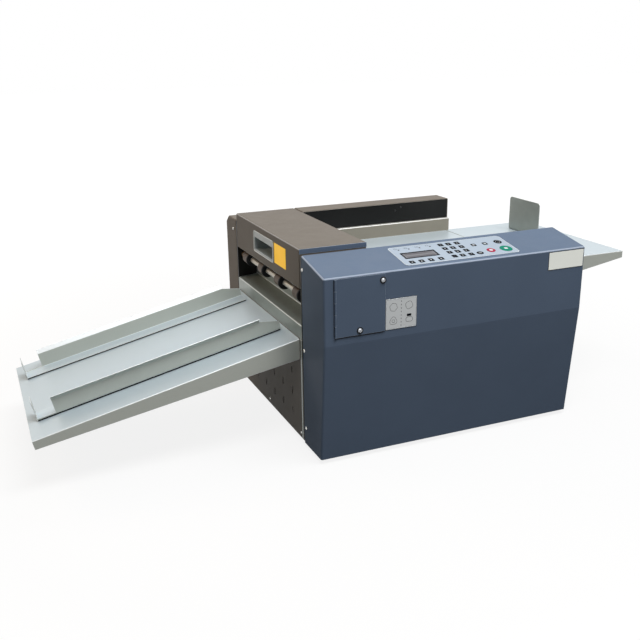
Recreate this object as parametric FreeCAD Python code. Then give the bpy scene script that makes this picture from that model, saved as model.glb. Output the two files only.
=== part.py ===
import FreeCAD, Part
import math
import os
from FreeCAD import Vector

os.makedirs("parts", exist_ok=True)

# A desktop machine that feeds sheets from a table on the right, creases them between wheels
# under a hinged cover, and drops them on a sloping tray on the left.
# X runs from the exit side to the infeed side, Y from the control side to the drive side, Z up.
# The origin is on the floor, under the middle of the whole machine with its tray and table.

# Driving sizes of the body, in millimetres
control_length = 580.0
drive_setback = 48.0
drive_length = control_length - drive_setback
body_depth = 594.0
control_depth = 109.0
drive_depth = 77.0
foot_height = 10.0
sheet = 1.5
frame_plate = 4.0
edge_inset = 0.5
seam = 0.3
overrun = 5.0
running_gap = 0.05

# Heights above the underside of the body, taken from the height of the table
table_height = 320.0
control_rise = 50.0
cover_rise = 79.5
drive_rise = 63.0
lower_face_drop = 130.0
lower_face_setback = 21.0
slope_rise = 20.5
control_front_height = table_height + control_rise
lower_face_height = control_front_height - lower_face_drop
cover_height = table_height + cover_rise
drive_height = table_height + drive_rise

# Delivery tray
tray_length = 530.0
tray_tilt = 12.76
tray_root_drop = 102.0
tray_root_height = table_height - tray_root_drop
tray_front_gap = 10.0
tray_rear_gap = 2.0
tray_width = body_depth - drive_depth - tray_rear_gap - control_depth - frame_plate - tray_front_gap
tray_rim_outer = 18.0
tray_rim_root = 42.0

# Extension table
extension_overhang = 188.0
extension_reach = control_length + extension_overhang
extension_front = 96.0
extension_lap = 3.0
beam_depth = 55.0
beam_front = body_depth - drive_depth - frame_plate - beam_depth
extension_rear = beam_front + extension_lap
extension_rim_outer = 15.5
extension_rim_root = 54.0
extension_seam_setback = 4.0
extension_seam = drive_length - extension_seam_setback
extension_hook = 40.0
control_clearance = 1.5

# What stands proud of the body: the rocker behind, and the thumb screws of the access door in front
rocker_proud = 2.5
screw_head_radius = 4.6
screw_head_height = 3.6
screw_shank_radius = 2.0
screw_depth = 5.0
door_stand_off = 0.3

# Reference planes of the body, from the box of the whole machine
tray_reach = tray_length * math.cos(math.radians(tray_tilt))
left = (tray_reach - extension_reach) / 2
screws_proud = door_stand_off + sheet + seam + screw_head_height
front = (screws_proud - rocker_proud - body_depth) / 2
right = left + control_length
drive_right = left + drive_length
rear = front + body_depth
bottom = foot_height
control_top = bottom + control_front_height
crease_line = bottom + lower_face_height
slope_top = control_top + slope_rise
cover_top = bottom + cover_height
table_top = bottom + table_height
drive_top = bottom + drive_height
front_frame_outer = front + control_depth
front_frame_inner = front_frame_outer + frame_plate
rear_frame_outer = rear - drive_depth
rear_frame_inner = rear_frame_outer - frame_plate
frame_left = left + edge_inset

# Hinged top cover and its grip
cover_length = 142.5
cover_front_gap = 4.0
cover_rear_gap = 1.0
cover_skirt = 77.5
cover_end_flange = 18.0
cover_edge_flange = 6.0
cover_slope_start = 24.0
cover_step = 14.0
cover_step_run = 4.0
cover_bend = 3.0
cover_left = left
cover_right = left + cover_length
cover_front = front_frame_inner + cover_front_gap
cover_rear = rear_frame_inner - cover_rear_gap
grip_middle_share = 0.5225
grip_width = 116.0
grip_height = 37.0
grip_drop = 19.0
grip_depth = 34.0
grip_wall = 1.5
grip_rim = 5.0
grip_rim_proud = 1.0
grip_corner = 7.0
grip_lip = 9.0

# Cover hinge
hinge_rod_radius = 2.0
hinge_eye_radius = 3.4
hinge_inset_x = 5.9
hinge_lug_width = 22.0
hinge_lug_shares = (0.10, 0.50, 0.90)
bracket_shares = (0.18, 0.82)
bracket_width = 16.0
bracket_reach = 9.5
bridge_left = 96.0
bridge_right = 128.0
bridge_top_drop = 20.0
bridge_depth = 14.0
bridge_wall = 2.0

# Beam beside the infeed table, on the drive side
beam_gap = 2.0
beam_height = 47.5
beam_face_inset = 1.0
guide_gap = 4.5
guide_height = 31.5
guide_start = 150.0
guide_overhang = 1.5
guide_fold = 10.0

# Shafts: place from the exit face and height below the table top
shaft_radius = 4.0
bush_radius = 7.5
bush_lip = 1.5
bush_lip_radius = 9.0
exit_x = 17.4
exit_wheel_radius = 15.0
exit_drop = 5.0
exit_wheel_width = 6.0
exit_wheel_shares = (0.07, 0.3325, 0.595, 0.8575)
exit_hub_radius = 13.8
exit_hub_length = 27.0
exit_core_radius = 6.0
exit_core_gap = 1.0
pinch_radius = 9.0
pinch_width = 12.0
nip_gap = 0.3
tool_x = 66.0
tool_pitch_radius = 14.15
tool_tooth_count = 28
tool_wheel_shares = (0.35, 0.67)
crease_rim_radius = 14.6
crease_hub_radius = 9.0
crease_hub_length = 14.0
crease_rim_width = 1.2
crease_flank_width = 4.0
crease_flank_radius = 12.4
anvil_radius = 13.9
anvil_groove_radius = 13.1
anvil_groove_width = 2.2
anvil_width = 12.0
feed_x = 100.0
feed_pitch_radius = 10.15
feed_roller_radius = 10.0
feed_tooth_count = 20
feed_end_gap = 12.0
pickup_x = 127.0
pickup_radius = 16.0
pickup_wheel_width = 24.0
pickup_shares = (0.30, 0.50, 0.70)
pickup_hub_radius = 9.0
paper_gap = 0.4

# Gears, pulleys and belt in the drive housing
gear_offset = 2.5
gear_width = 7.0
tooth_addendum = 0.85
tooth_dedendum = 1.1
tooth_tip_share = 0.16
tooth_root_share = 0.52
pulley_width = 10.0
pulley_flange = 1.0
pulley_flange_rise = 1.6
belt_thickness = 1.4
motor_x = 70.0
motor_drop = 160.0
motor_radius = 30.0
motor_length = 70.0
motor_boss_radius = 12.0
motor_boss_length = 3.0
motor_pulley_radius = 10.0
exit_pulley_radius = 12.0
shaft_end = 3.0
pickup_motor_size = 28.0
pickup_motor_length = 40.0
pickup_motor_chamfer = 4.0

# Keypad on the sloping face, measured from the exit end and from the front edge
keypad_start = 173.5
keypad_length = 256.0
keypad_offset = 10.5
keypad_width = 84.0
keypad_thickness = 0.8
keypad_corner = 8.0
display_start = 188.0
display_length = 73.0
display_offset = 39.5
display_width = 25.0
display_thickness = 0.6
start_key_place = (408.9, 32.4)
start_key_radius = 13.0
stop_key_place = (374.0, 32.6)
stop_key_radius = 9.0
key_clearance = 0.3
key_height = 1.3
key_seat = 0.9
board_gap = 8.0
board_thickness = 1.6
board_overhang = 12.0
post_radius = 3.5

# Access door on the control face
door_start = 22.2
door_length = 101.8
door_height = 111.8
door_top_gap = 3.0
door_foot_height = control_front_height - door_top_gap - door_height
door_lap = 7.0
door_barrel_radius = 1.8
door_pin_radius = 0.9
door_corner = 3.0
door_knuckles = 5
knuckle_gap = 0.3
upper_screw_x = 118.6
upper_screw_drop = 15.2
lower_screw_x = 71.7
lower_screw_rise = 8.5
upper_screw_place = (upper_screw_x, control_front_height - upper_screw_drop)
lower_screw_place = (lower_screw_x, door_foot_height + lower_screw_rise)
screw_hole_radius = 3.4
screw_fit = 0.3

# Plates, panels and small parts
control_bend = 4.0
control_rim = 6.0
drive_chamfer_depth = 19.0
drive_chamfer_drop = 15.0
drive_bend = 4.0
drive_rim = 6.0
base_thickness = 3.0
base_margin = 2.5
panel_top_height = tray_root_height + edge_inset
slot_columns = 6
slot_rows = 3
slot_front_margin = 59.5
slot_rear_margin = 67.0
slot_first_height = 45.5
slot_pitch_height = 45.0
slot_height = 16.0
slot_width = 4.0
right_panel_drop = 30.0
right_panel_height = table_height - right_panel_drop
foot_radius = 14.0
foot_inset = 42.0
front_foot_setback = 62.0
table_start = 112.0
table_flange = 20.0
stop_slot_margin = 24.0
stop_slot_length = 140.0
stop_slot_width = 7.0
stop_setback = 89.0
stop_middle_share = 0.6822
stop_width = 118.0
stop_height = 81.0
stop_corner = 8.0
stop_foot = 50.0
stop_stud_radius = 3.0
knob_radius = 10.0
knob_height = 14.0
knob_flutes = 8
knob_flute_radius = 2.4
chute_lip_height = 28.0
chute_lip_drop = 73.0
chute_lip_top = table_height - chute_lip_drop
chute_run = 45.8
chute_rise = 5.0
chute_back_drop = 12.0
chute_back_height = table_height - chute_back_drop
chute_tail = 5.0
chute_bend = 2.5
tie_radius = 7.0
tie_inset = 60.0
tie_middle_x = 300.0
tie_far_inset = 42.0
tie_table_drop = 50.0
tie_places = (
    (tie_inset, tie_inset), (tie_middle_x, tie_inset), (drive_length - tie_far_inset, tie_inset),
    (tie_middle_x, table_height - tie_table_drop))
bearing_plate_length = 46.0
bearing_plate_height = 72.0
bearing_plate_thickness = 6.0
tool_window_margin = 4.0
tool_knob_radius = 15.0
tool_knob_width = 20.0
tool_knob_gap = 26.0
supply_start = 300.0
supply_length = 150.0
supply_depth = 70.0
supply_height = 48.0
supply_front = 32.0
inlet_setback = 102.0
inlet_height = 46.0
inlet_length = 28.0
inlet_rise = 20.0
inlet_depth = 18.0
inlet_flange = 3.0
inlet_wall = 2.0
switch_gap = 20.0
switch_length = 14.0
switch_rise = 20.0
rocker_fit = 0.4
rocker_axle_radius = 1.2

# Tray guides on their magnetic strips
guide_length = 500.0
guide_near_end = 12.0
guide_base = 37.0
guide_sheet = 1.2
guide_strip = 2.5
guide_lift = 0.3
guide_wall_height = 31.0
guide_wall_length = 464.0
guide_flare = 7.0
guide_bend = 2.0
guide_cut_length = 40.0
guide_cut_height = 16.0
guide_tab_height = 40.0
rear_guide_margin = 94.0
front_guide_place = 72.0
tray_bracket_reach = 70.0
tray_bracket_height = 46.0
tray_bracket_plate = 2.5
tray_bracket_foot = 16.0
tray_bracket_shares = (0.18, 0.82)

# Places worked out from the sizes above
paper_level = table_top - nip_gap / 2
exit_z = table_top - exit_drop - exit_wheel_radius
pinch_z = exit_z + exit_wheel_radius + nip_gap + pinch_radius
lower_tool_z = paper_level - tool_pitch_radius
upper_tool_z = paper_level + tool_pitch_radius
lower_feed_z = paper_level - feed_pitch_radius
upper_feed_z = paper_level + feed_pitch_radius
pickup_z = table_top + paper_gap + pickup_radius
motor_z = table_top - motor_drop
tool_pulley_radius = exit_pulley_radius * tool_pitch_radius / exit_wheel_radius
feed_pulley_radius = exit_pulley_radius * feed_pitch_radius / exit_wheel_radius
hinge_x = cover_right - hinge_inset_x
hinge_z = cover_top - sheet - hinge_eye_radius
passage = rear_frame_inner - front_frame_inner
grip_front = front_frame_inner + passage * grip_middle_share - grip_width / 2
slot_pitch_y = (passage - slot_front_margin - slot_rear_margin) / (slot_columns - 1)
stop_x = left + extension_reach - stop_setback
stop_middle_y = front + extension_front + (extension_rear - extension_front) * stop_middle_share
inlet_left = drive_right - inlet_setback
rear_guide_place = tray_width - rear_guide_margin
gear_front = rear_frame_outer + bush_lip + gear_offset
pulley_front = gear_front + gear_width + seam
shaft_back = pulley_front + pulley_width + shaft_end


def at_x(offset):
    return left + offset


def at_y(offset):
    return front + offset


def save(name, shape):
    shape.exportStep("parts/" + name + ".step")


def block(x0, x1, y0, y1, z0, z1):
    return Part.makeBox(x1 - x0, y1 - y0, z1 - z0, Vector(x0, y0, z0))


def rod_y(x, z, radius, y0, y1):
    return Part.makeCylinder(radius, y1 - y0, Vector(x, y0, z), Vector(0, 1, 0))


def rod_z(x, y, radius, z0, z1):
    return Part.makeCylinder(radius, z1 - z0, Vector(x, y, z0), Vector(0, 0, 1))


def ring_y(x, z, inner, outer, y0, y1):
    return rod_y(x, z, outer, y0, y1).cut(rod_y(x, z, inner, y0 - overrun, y1 + overrun))


def plate_xz(points, y0, y1):
    wire = Part.makePolygon([Vector(x, y0, z) for x, z in points + points[:1]])
    return Part.Face(wire).extrude(Vector(0, y1 - y0, 0))


def plate_yz(points, x0, x1):
    wire = Part.makePolygon([Vector(x0, y, z) for y, z in points + points[:1]])
    return Part.Face(wire).extrude(Vector(x1 - x0, 0, 0))


def plate_xy(points, z0, z1):
    wire = Part.makePolygon([Vector(x, y, z0) for x, y in points + points[:1]])
    return Part.Face(wire).extrude(Vector(0, 0, z1 - z0))


def edges_along(shape, axis, keep):
    """Straight edges along one axis whose middle passes the test."""
    found = []
    for edge in shape.Edges:
        if len(edge.Vertexes) != 2:
            continue
        run = edge.Vertexes[1].Point.sub(edge.Vertexes[0].Point)
        if abs(abs(run.dot(axis)) - edge.Length) < Part.Precision.confusion() * 10:
            if keep(edge.CenterOfMass):
                found.append(edge)
    return found


def rounded_box(x0, x1, y0, y1, z0, z1, radius, axis):
    """A block with its four edges along one axis rounded."""
    solid = block(x0, x1, y0, y1, z0, z1)
    return solid.makeFillet(radius, edges_along(solid, axis, lambda middle: True))


def bent_profile(path, thickness, bend):
    """Closed outline of a bent sheet: the path is one face, the other lies to its left."""
    points = [FreeCAD.Base.Vector2d(u, v) for u, v in path]
    runs = [(b - a) for a, b in zip(points, points[1:])]
    runs = [FreeCAD.Base.Vector2d(r.x / r.length(), r.y / r.length()) for r in runs]
    near, far = [points[0]], [points[0] + normal_of(runs[0]) * thickness]
    near_mid, far_mid = [], []
    for corner, before, after in zip(points[1:-1], runs, runs[1:]):
        turn = math.atan2(before.x * after.y - before.y * after.x, before.x * after.x + before.y * after.y)
        side = 1 if turn > 0 else -1
        cut = bend * math.tan(abs(turn) / 2)
        start, end = corner - before * cut, corner + after * cut
        centre = start + normal_of(before) * (side * bend)
        middle = corner - centre
        middle = FreeCAD.Base.Vector2d(middle.x / middle.length(), middle.y / middle.length())
        other = bend - side * thickness
        near += [start, end]
        near_mid.append(centre + middle * bend)
        far += [start + normal_of(before) * thickness, end + normal_of(after) * thickness]
        far_mid.append(centre + middle * other)
    near.append(points[-1])
    far.append(points[-1] + normal_of(runs[-1]) * thickness)
    return near, near_mid, far, far_mid


def normal_of(run):
    return FreeCAD.Base.Vector2d(-run.y, run.x)


def bent_sheet(path, thickness, bend, place, sweep):
    """A bent sheet: the outline of a path, drawn by place(u, v), swept along a vector."""
    near, near_mid, far, far_mid = bent_profile(path, thickness, bend)

    def side(points, middles):
        edges = []
        for index in range(len(points) - 1):
            start, end = place(points[index]), place(points[index + 1])
            if index % 2:
                edges.append(Part.Arc(start, place(middles[index // 2]), end).toShape())
            else:
                edges.append(Part.LineSegment(start, end).toShape())
        return edges

    edges = side(near, near_mid) + side(far, far_mid)
    edges.append(Part.LineSegment(place(near[0]), place(far[0])).toShape())
    edges.append(Part.LineSegment(place(near[-1]), place(far[-1])).toShape())
    face = Part.Face(Part.Wire(Part.__sortEdges__(edges)))
    return face.extrude(sweep)


def inset_outline(points, insets):
    """Move each side of a counter-clockwise outline inwards by its own amount."""
    lines = []
    for (ax, ay), (bx, by), inset in zip(points, points[1:] + points[:1], insets):
        length = math.hypot(bx - ax, by - ay)
        nx, ny = (ay - by) / length, (bx - ax) / length
        lines.append((nx, ny, nx * ax + ny * ay + inset))
    corners = []
    for (a, b, c), (d, e, f) in zip(lines[-1:] + lines[:-1], lines):
        spread = a * e - b * d
        corners.append(((c * e - b * f) / spread, (a * f - c * d) / spread))
    return corners


def rounded_housing(outline, x0, x1, radius):
    """A closed housing with every edge rounded but those of its underside."""
    solid = plate_yz(outline, x0, x1)
    floor = solid.BoundBox.ZMin + seam
    return solid.makeFillet(radius, [edge for edge in solid.Edges if edge.CenterOfMass.z > floor])


def sheet_hood(outline, x0, x1, bend):
    """A sheet housing, open below; the first side of its outline is the underside."""
    outer = rounded_housing(outline, x0, x1, bend)
    insets = [sheet] * len(outline)
    insets[0] = -overrun
    inner = rounded_housing(inset_outline(outline, insets), x0 + sheet, x1 - sheet, bend - sheet)
    return outer.cut(inner)


def hood_window(open_y, x0, x1, rim, top):
    """The opening that a rim of its own width leaves in the back of a housing."""
    return block(x0 + rim, x1 - rim, open_y - rim, open_y + rim, bottom - overrun, top - rim)


def front_housing_outline():
    return [
        (front + lower_face_setback, bottom),
        (front_frame_outer, bottom),
        (front_frame_outer, slope_top),
        (front, control_top),
        (front, crease_line),
    ]


slope_angle = math.degrees(math.atan2(slope_rise, control_depth))


def on_slope(shape):
    """Lay a shape, drawn flat with its front edge on Y = 0 and its seat on Z = 0, on the sloping face."""
    laid = shape.copy()
    laid.rotate(Vector(0, 0, 0), Vector(1, 0, 0), slope_angle)
    laid.translate(Vector(left, front, control_top))
    return laid


def door_knuckle_spans():
    foot = bottom + door_foot_height
    step = door_height / door_knuckles
    spans = []
    for index in range(door_knuckles):
        spans.append((foot + index * step + knuckle_gap / 2, foot + (index + 1) * step - knuckle_gap / 2))
    return spans


def make_front_cover():
    hood = sheet_hood(front_housing_outline(), left, right, control_bend)
    hood = hood.cut([hood_window(front_frame_outer, left, right, control_rim, slope_top), make_base()])
    door_x, door_z = at_x(door_start), bottom + door_foot_height
    hole = block(
        door_x + door_lap, door_x + door_length - door_lap * 2,
        front - overrun, front + overrun,
        door_z + door_lap * 3, door_z + door_height - door_lap * 3)
    hood = hood.cut(hole)
    for x, z in (upper_screw_place, lower_screw_place):
        hood = hood.cut(rod_y(at_x(x), bottom + z, screw_hole_radius, front - overrun, front + overrun))
    pin_y = front - door_barrel_radius
    for z0, z1 in door_knuckle_spans()[1::2]:
        barrel = rod_z(door_x, pin_y, door_barrel_radius, z0, z1)
        seat = block(door_x - door_barrel_radius, door_x, pin_y, front, z0, z1)
        hood = hood.fuse([barrel, seat])
    z0, z1 = door_knuckle_spans()[0][0], door_knuckle_spans()[-1][1]
    hood = hood.fuse(rod_z(door_x, pin_y, door_pin_radius, z0, z1))
    for key_place, key_radius in ((start_key_place, start_key_radius), (stop_key_place, stop_key_radius)):
        x, y = key_place
        well = rod_z(x, y, key_radius + key_clearance, -overrun, overrun)
        hood = hood.cut(on_slope(well))
    for post_x, post_y in board_posts():
        post = rod_z(post_x, post_y, post_radius, -board_gap, -sheet / 2)
        hood = hood.fuse(on_slope(post))
    return hood.removeSplitter()


def board_outline():
    return (keypad_start - board_overhang, keypad_start + keypad_length + board_overhang,
            keypad_offset + overrun, keypad_offset + keypad_width - overrun)


def board_posts():
    x0, x1, y0, y1 = board_outline()
    inset = post_radius * 2
    return [(x, y) for x in (x0 + inset, x1 - inset) for y in (y0 + inset, y1 - inset)]


def make_control_board():
    x0, x1, y0, y1 = board_outline()
    board = block(x0, x1, y0, y1, -board_gap - board_thickness, -board_gap)
    for place, radius in ((start_key_place, start_key_radius), (stop_key_place, stop_key_radius)):
        x, y = place
        switch = rod_z(x, y, radius / 2, -board_gap, -board_gap + board_thickness * 2)
        board = board.fuse(switch)
    return on_slope(board)


def make_keypad():
    panel = rounded_box(
        keypad_start, keypad_start + keypad_length, keypad_offset, keypad_offset + keypad_width,
        0, keypad_thickness, keypad_corner, Vector(0, 0, 1))
    window = block(
        display_start, display_start + display_length,
        display_offset, display_offset + display_width, -overrun, overrun)
    panel = panel.cut(window)
    for place, radius in ((start_key_place, start_key_radius), (stop_key_place, stop_key_radius)):
        panel = panel.cut(rod_z(place[0], place[1], radius + key_clearance, -overrun, overrun))
    return on_slope(panel)


def make_display():
    glass = block(
        display_start, display_start + display_length,
        display_offset, display_offset + display_width, 0, display_thickness)
    return on_slope(glass)


def make_key(place, radius):
    x, y = place
    lower = -board_gap + board_thickness * 2 + key_seat
    stem = rod_z(x, y, radius / 2, lower, 0)
    cap = rod_z(x, y, radius, -sheet, key_height)
    rim = [edge for edge in cap.Edges if edge.CenterOfMass.z > key_height - running_gap]
    cap = cap.makeFillet(key_height / 2, rim)
    return on_slope(cap.fuse(stem).removeSplitter())


def make_access_door():
    x0, z0 = at_x(door_start), bottom + door_foot_height
    y0 = front - door_stand_off - sheet
    door = block(
        x0 + door_barrel_radius + knuckle_gap, x0 + door_length, y0, y0 + sheet, z0, z0 + door_height)
    corners = edges_along(door, Vector(0, 1, 0), lambda middle: middle.x > x0 + door_length / 2)
    door = door.makeFillet(door_corner, corners)
    pin_y = front - door_barrel_radius
    for low, high in door_knuckle_spans()[0::2]:
        barrel = rod_z(x0, pin_y, door_barrel_radius, low, high)
        web = block(x0, x0 + door_barrel_radius + door_corner, y0, y0 + sheet, low, high)
        door = door.fuse([barrel, web])
    door = door.cut(rod_z(x0, pin_y, door_pin_radius + running_gap, z0 - overrun, z0 + door_height + overrun))
    for x, z in (upper_screw_place, lower_screw_place):
        door = door.cut(rod_y(at_x(x), bottom + z, screw_shank_radius + screw_fit, y0 - overrun, front))
    return door.removeSplitter()


def make_thumb_screw(place):
    """Domed head with a screwdriver slot, on a short shank."""
    x, z = at_x(place[0]), bottom + place[1]
    seat = front - door_stand_off - sheet - seam
    base = Vector(x, seat, z)
    ball = (screw_head_radius ** 2 + screw_head_height ** 2) / (2 * screw_head_height)
    dome = Part.makeSphere(ball, Vector(x, seat + ball - screw_head_height, z))
    head = Part.makeCylinder(screw_head_radius, screw_head_height * 2, base, Vector(0, -1, 0)).common(dome)
    shank = rod_y(x, z, screw_shank_radius, seat, front + screw_depth)
    slot = block(
        x - sheet / 3, x + sheet / 3, seat - screw_head_height * 2, seat - screw_head_height / 2,
        z - screw_head_radius, z + screw_head_radius)
    return head.fuse(shank).cut(slot).removeSplitter()


def cover_end_outline(inset):
    """End face of the top cover: deep on the exit side, shallow above the infeed side."""
    return [
        (cover_left + inset, cover_top - cover_skirt),
        (cover_left + cover_bend, cover_top - cover_skirt),
        (cover_left + cover_bend + cover_step_run, cover_top - cover_skirt + cover_step),
        (cover_left + cover_slope_start, cover_top - cover_skirt + cover_step),
        (cover_left + cover_skirt, cover_top - cover_end_flange),
        (cover_right - inset, cover_top - cover_end_flange),
        (cover_right - inset, cover_top - inset),
        (cover_left + inset, cover_top - inset),
    ]


def make_top_cover():
    shell = plate_xz(cover_end_outline(0), cover_front, cover_rear)
    bends = edges_along(shell, Vector(0, 1, 0), lambda middle: middle.z > cover_top - seam)
    bends += edges_along(shell, Vector(1, 0, 0), lambda middle: middle.z > cover_top - seam)
    corners = edges_along(shell, Vector(0, 0, 1), lambda middle: True)
    shell = shell.makeFillet(cover_bend, bends + corners)
    inner = block(
        cover_left + sheet, cover_right - sheet, cover_front + sheet, cover_rear - sheet,
        cover_top - cover_skirt - overrun, cover_top - sheet)
    inner_edges = [edge for edge in inner.Edges if edge.CenterOfMass.z > cover_top - cover_skirt]
    shell = shell.cut(inner.makeFillet(cover_bend - sheet, inner_edges))
    flange_cut = block(
        cover_right - sheet * 2, cover_right + overrun, cover_front + sheet, cover_rear - sheet,
        cover_top - cover_skirt - overrun, cover_top - cover_edge_flange)
    shell = shell.cut(flange_cut)
    x0, x1, y0, y1, z0, z1 = grip_box()
    shell = shell.cut(block(x0 - overrun, x0 + overrun, y0, y1, z0, z1))
    for y0, y1 in hinge_spans(hinge_lug_shares, hinge_lug_width):
        eye = rod_y(hinge_x, hinge_z, hinge_eye_radius, y0, y1)
        web = block(
            hinge_x - hinge_eye_radius, hinge_x + hinge_eye_radius, y0, y1, hinge_z, cover_top - sheet / 2)
        shell = shell.fuse([eye, web])
    bore = rod_y(hinge_x, hinge_z, hinge_rod_radius + running_gap, cover_front + sheet, cover_rear - sheet)
    return shell.cut(bore).removeSplitter()


def hinge_spans(shares, width):
    span = cover_rear - cover_front
    middles = [cover_front + span * share for share in shares]
    return [(middle - width / 2, middle + width / 2) for middle in middles]


def grip_box():
    """Cut-out for the grip in the exit face of the cover."""
    z1 = cover_top - grip_drop
    return (cover_left, cover_left + grip_depth, grip_front, grip_front + grip_width,
            z1 - grip_height, z1)


def make_grip_cup():
    """Moulded cup with a rim outside the sheet and a finger lip that hangs from its top."""
    x0, x1, y0, y1, z0, z1 = grip_box()
    along_x = Vector(1, 0, 0)
    rim = rounded_box(
        x0 - grip_rim_proud, x0, y0 - grip_rim, y1 + grip_rim, z0 - grip_rim, z1 + grip_rim,
        grip_corner, along_x)
    cup = block(x0, x1, y0, y1, z0, z1)
    back_edges = edges_along(cup, Vector(0, 1, 0), lambda middle: middle.x > x1 - seam)
    cup = cup.makeFillet(grip_depth / 3, back_edges)
    cup = cup.fuse(rim)
    hollow = block(
        x0 + grip_wall, x1 - grip_wall, y0 + grip_wall, y1 - grip_wall, z0 + grip_wall, z1 - grip_wall)
    hollow_edges = edges_along(hollow, Vector(0, 1, 0), lambda middle: middle.x > x1 - grip_wall - seam)
    hollow = hollow.makeFillet(grip_depth / 3 - grip_wall, hollow_edges)
    mouth = rounded_box(
        x0 - overrun, x0 + overrun, y0 + grip_wall, y1 - grip_wall, z0 + grip_wall, z1 - grip_lip,
        grip_rim / 2, along_x)
    return cup.cut([hollow, mouth]).removeSplitter()


def make_hinge_bridge():
    """Channel between the side frames that carries the cover's hinge rod on two arms."""
    x0, x1 = at_x(bridge_left), at_x(bridge_right)
    z1 = cover_top - bridge_top_drop
    z0 = z1 - bridge_depth
    bar = block(x0, x1, front_frame_inner, rear_frame_inner, z0, z1)
    bar = bar.cut(block(
        x0 + bridge_wall, x1 - bridge_wall, front_frame_inner - overrun, rear_frame_inner + overrun,
        z0 - overrun, z1 - bridge_wall))
    eye_radius = hinge_rod_radius + bridge_wall / 2
    neck_x = hinge_x - bracket_reach
    for y0, y1 in hinge_spans(bracket_shares, bracket_width):
        arm = plate_xz([
            (x0, z1 - bridge_wall), (neck_x, z1 - bridge_wall), (neck_x, hinge_z - eye_radius),
            (hinge_x, hinge_z - eye_radius), (hinge_x, hinge_z + eye_radius),
            (x0, hinge_z + eye_radius)], y0, y1)
        eye = rod_y(hinge_x, hinge_z, eye_radius, y0, y1)
        bar = bar.fuse([arm, eye])
    rod = rod_y(hinge_x, hinge_z, hinge_rod_radius, cover_front + sheet * 2, cover_rear - sheet * 2)
    return bar.fuse(rod).removeSplitter()


def make_front_frame():
    plate = block(
        frame_left, right - edge_inset, front_frame_outer, front_frame_inner,
        bottom + base_thickness, slope_top - overrun)
    window = block(
        at_x(tool_x) - crease_rim_radius - tool_window_margin,
        at_x(tool_x) + crease_rim_radius + tool_window_margin,
        front_frame_outer - overrun, front_frame_inner + overrun,
        lower_tool_z - crease_rim_radius - tool_window_margin,
        upper_tool_z + crease_rim_radius + tool_window_margin)
    plate = plate.cut(window)
    return drill_bushes(plate, front_frame_outer, front_frame_inner, front_bushes())


def make_rear_frame():
    low_top = drive_top - sheet - seam
    high_top = cover_top - sheet - seam
    step = cover_right + beam_gap + sheet + seam
    plate = plate_xz([
        (frame_left, bottom + base_thickness), (drive_right - edge_inset - sheet, bottom + base_thickness),
        (drive_right - edge_inset - sheet, high_top), (step, high_top),
        (step, low_top), (frame_left, low_top)], rear_frame_inner, rear_frame_outer)
    plate = plate.cut(rod_y(at_x(motor_x), motor_z, motor_boss_radius, rear_frame_inner - overrun, rear))
    return drill_bushes(plate, rear_frame_inner, rear_frame_outer, rear_bushes())


def front_bushes():
    return [
        (at_x(exit_x), exit_z), (at_x(exit_x), pinch_z), (at_x(feed_x), lower_feed_z),
        (at_x(feed_x), upper_feed_z), (at_x(pickup_x), pickup_z)]


def rear_bushes():
    return front_bushes() + [(at_x(tool_x), lower_tool_z), (at_x(tool_x), upper_tool_z)]


def drill_bushes(plate, y0, y1, places):
    for x, z in places:
        plate = plate.cut(rod_y(x, z, bush_radius, y0 - overrun, y1 + overrun))
    return plate


def make_bushes():
    """Flanged bearing bushes in the side frames, one for each shaft end."""
    rings = []
    for places, y0, y1, lip_y in (
            (front_bushes(), front_frame_outer, front_frame_inner, front_frame_outer - bush_lip),
            (rear_bushes(), rear_frame_inner, rear_frame_outer, rear_frame_outer)):
        for x, z in places:
            lip = rod_y(x, z, bush_lip_radius, lip_y, lip_y + bush_lip)
            bore = rod_y(x, z, shaft_radius + running_gap, y0 - overrun, y1 + overrun)
            rings.append(rod_y(x, z, bush_radius, y0, y1).fuse(lip).cut(bore).removeSplitter())
    return Part.makeCompound(rings)


def gear(x, z, pitch_radius, teeth, turned):
    """Spur gear with straight-flanked teeth, turned by half a tooth where it has to mesh."""
    pitch_angle = 2 * math.pi / teeth
    tip, root = pitch_radius + tooth_addendum, pitch_radius - tooth_dedendum
    points = []
    for index in range(teeth):
        middle = (index + (0.5 if turned else 0)) * pitch_angle + math.pi / 2
        for radius, share in (
                (root, -tooth_root_share / 2), (tip, -tooth_tip_share / 2),
                (tip, tooth_tip_share / 2), (root, tooth_root_share / 2)):
            angle = middle + share * pitch_angle
            points.append((x + radius * math.cos(angle), z + radius * math.sin(angle)))
    return plate_xz(points, gear_front, gear_front + gear_width)


def pulley(x, z, radius, y0):
    groove = radius - belt_thickness / 2 - running_gap
    body = rod_y(x, z, groove, y0, y0 + pulley_width)
    for y in (y0, y0 + pulley_width - pulley_flange):
        body = body.fuse(rod_y(x, z, radius + pulley_flange_rise, y, y + pulley_flange))
    return body.cut(rod_y(x, z, shaft_radius, y0 - overrun, y0 + pulley_width + overrun))


def make_gear_pulley(x, z, pitch_radius, teeth, pulley_radius):
    cluster = gear(x, z, pitch_radius, teeth, False).fuse(pulley(x, z, pulley_radius, pulley_front))
    hub = rod_y(x, z, shaft_radius * 1.5, gear_front + gear_width - seam, pulley_front + seam)
    bore = rod_y(x, z, shaft_radius, gear_front - overrun, pulley_front + pulley_width + overrun)
    return cluster.fuse(hub).cut(bore).removeSplitter()


def belt_circles(extra):
    return [
        (at_x(motor_x), motor_z, motor_pulley_radius + extra),
        (at_x(feed_x), lower_feed_z, feed_pulley_radius + extra),
        (at_x(tool_x), lower_tool_z, tool_pulley_radius + extra),
        (at_x(exit_x), exit_z, exit_pulley_radius + extra),
    ]


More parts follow.
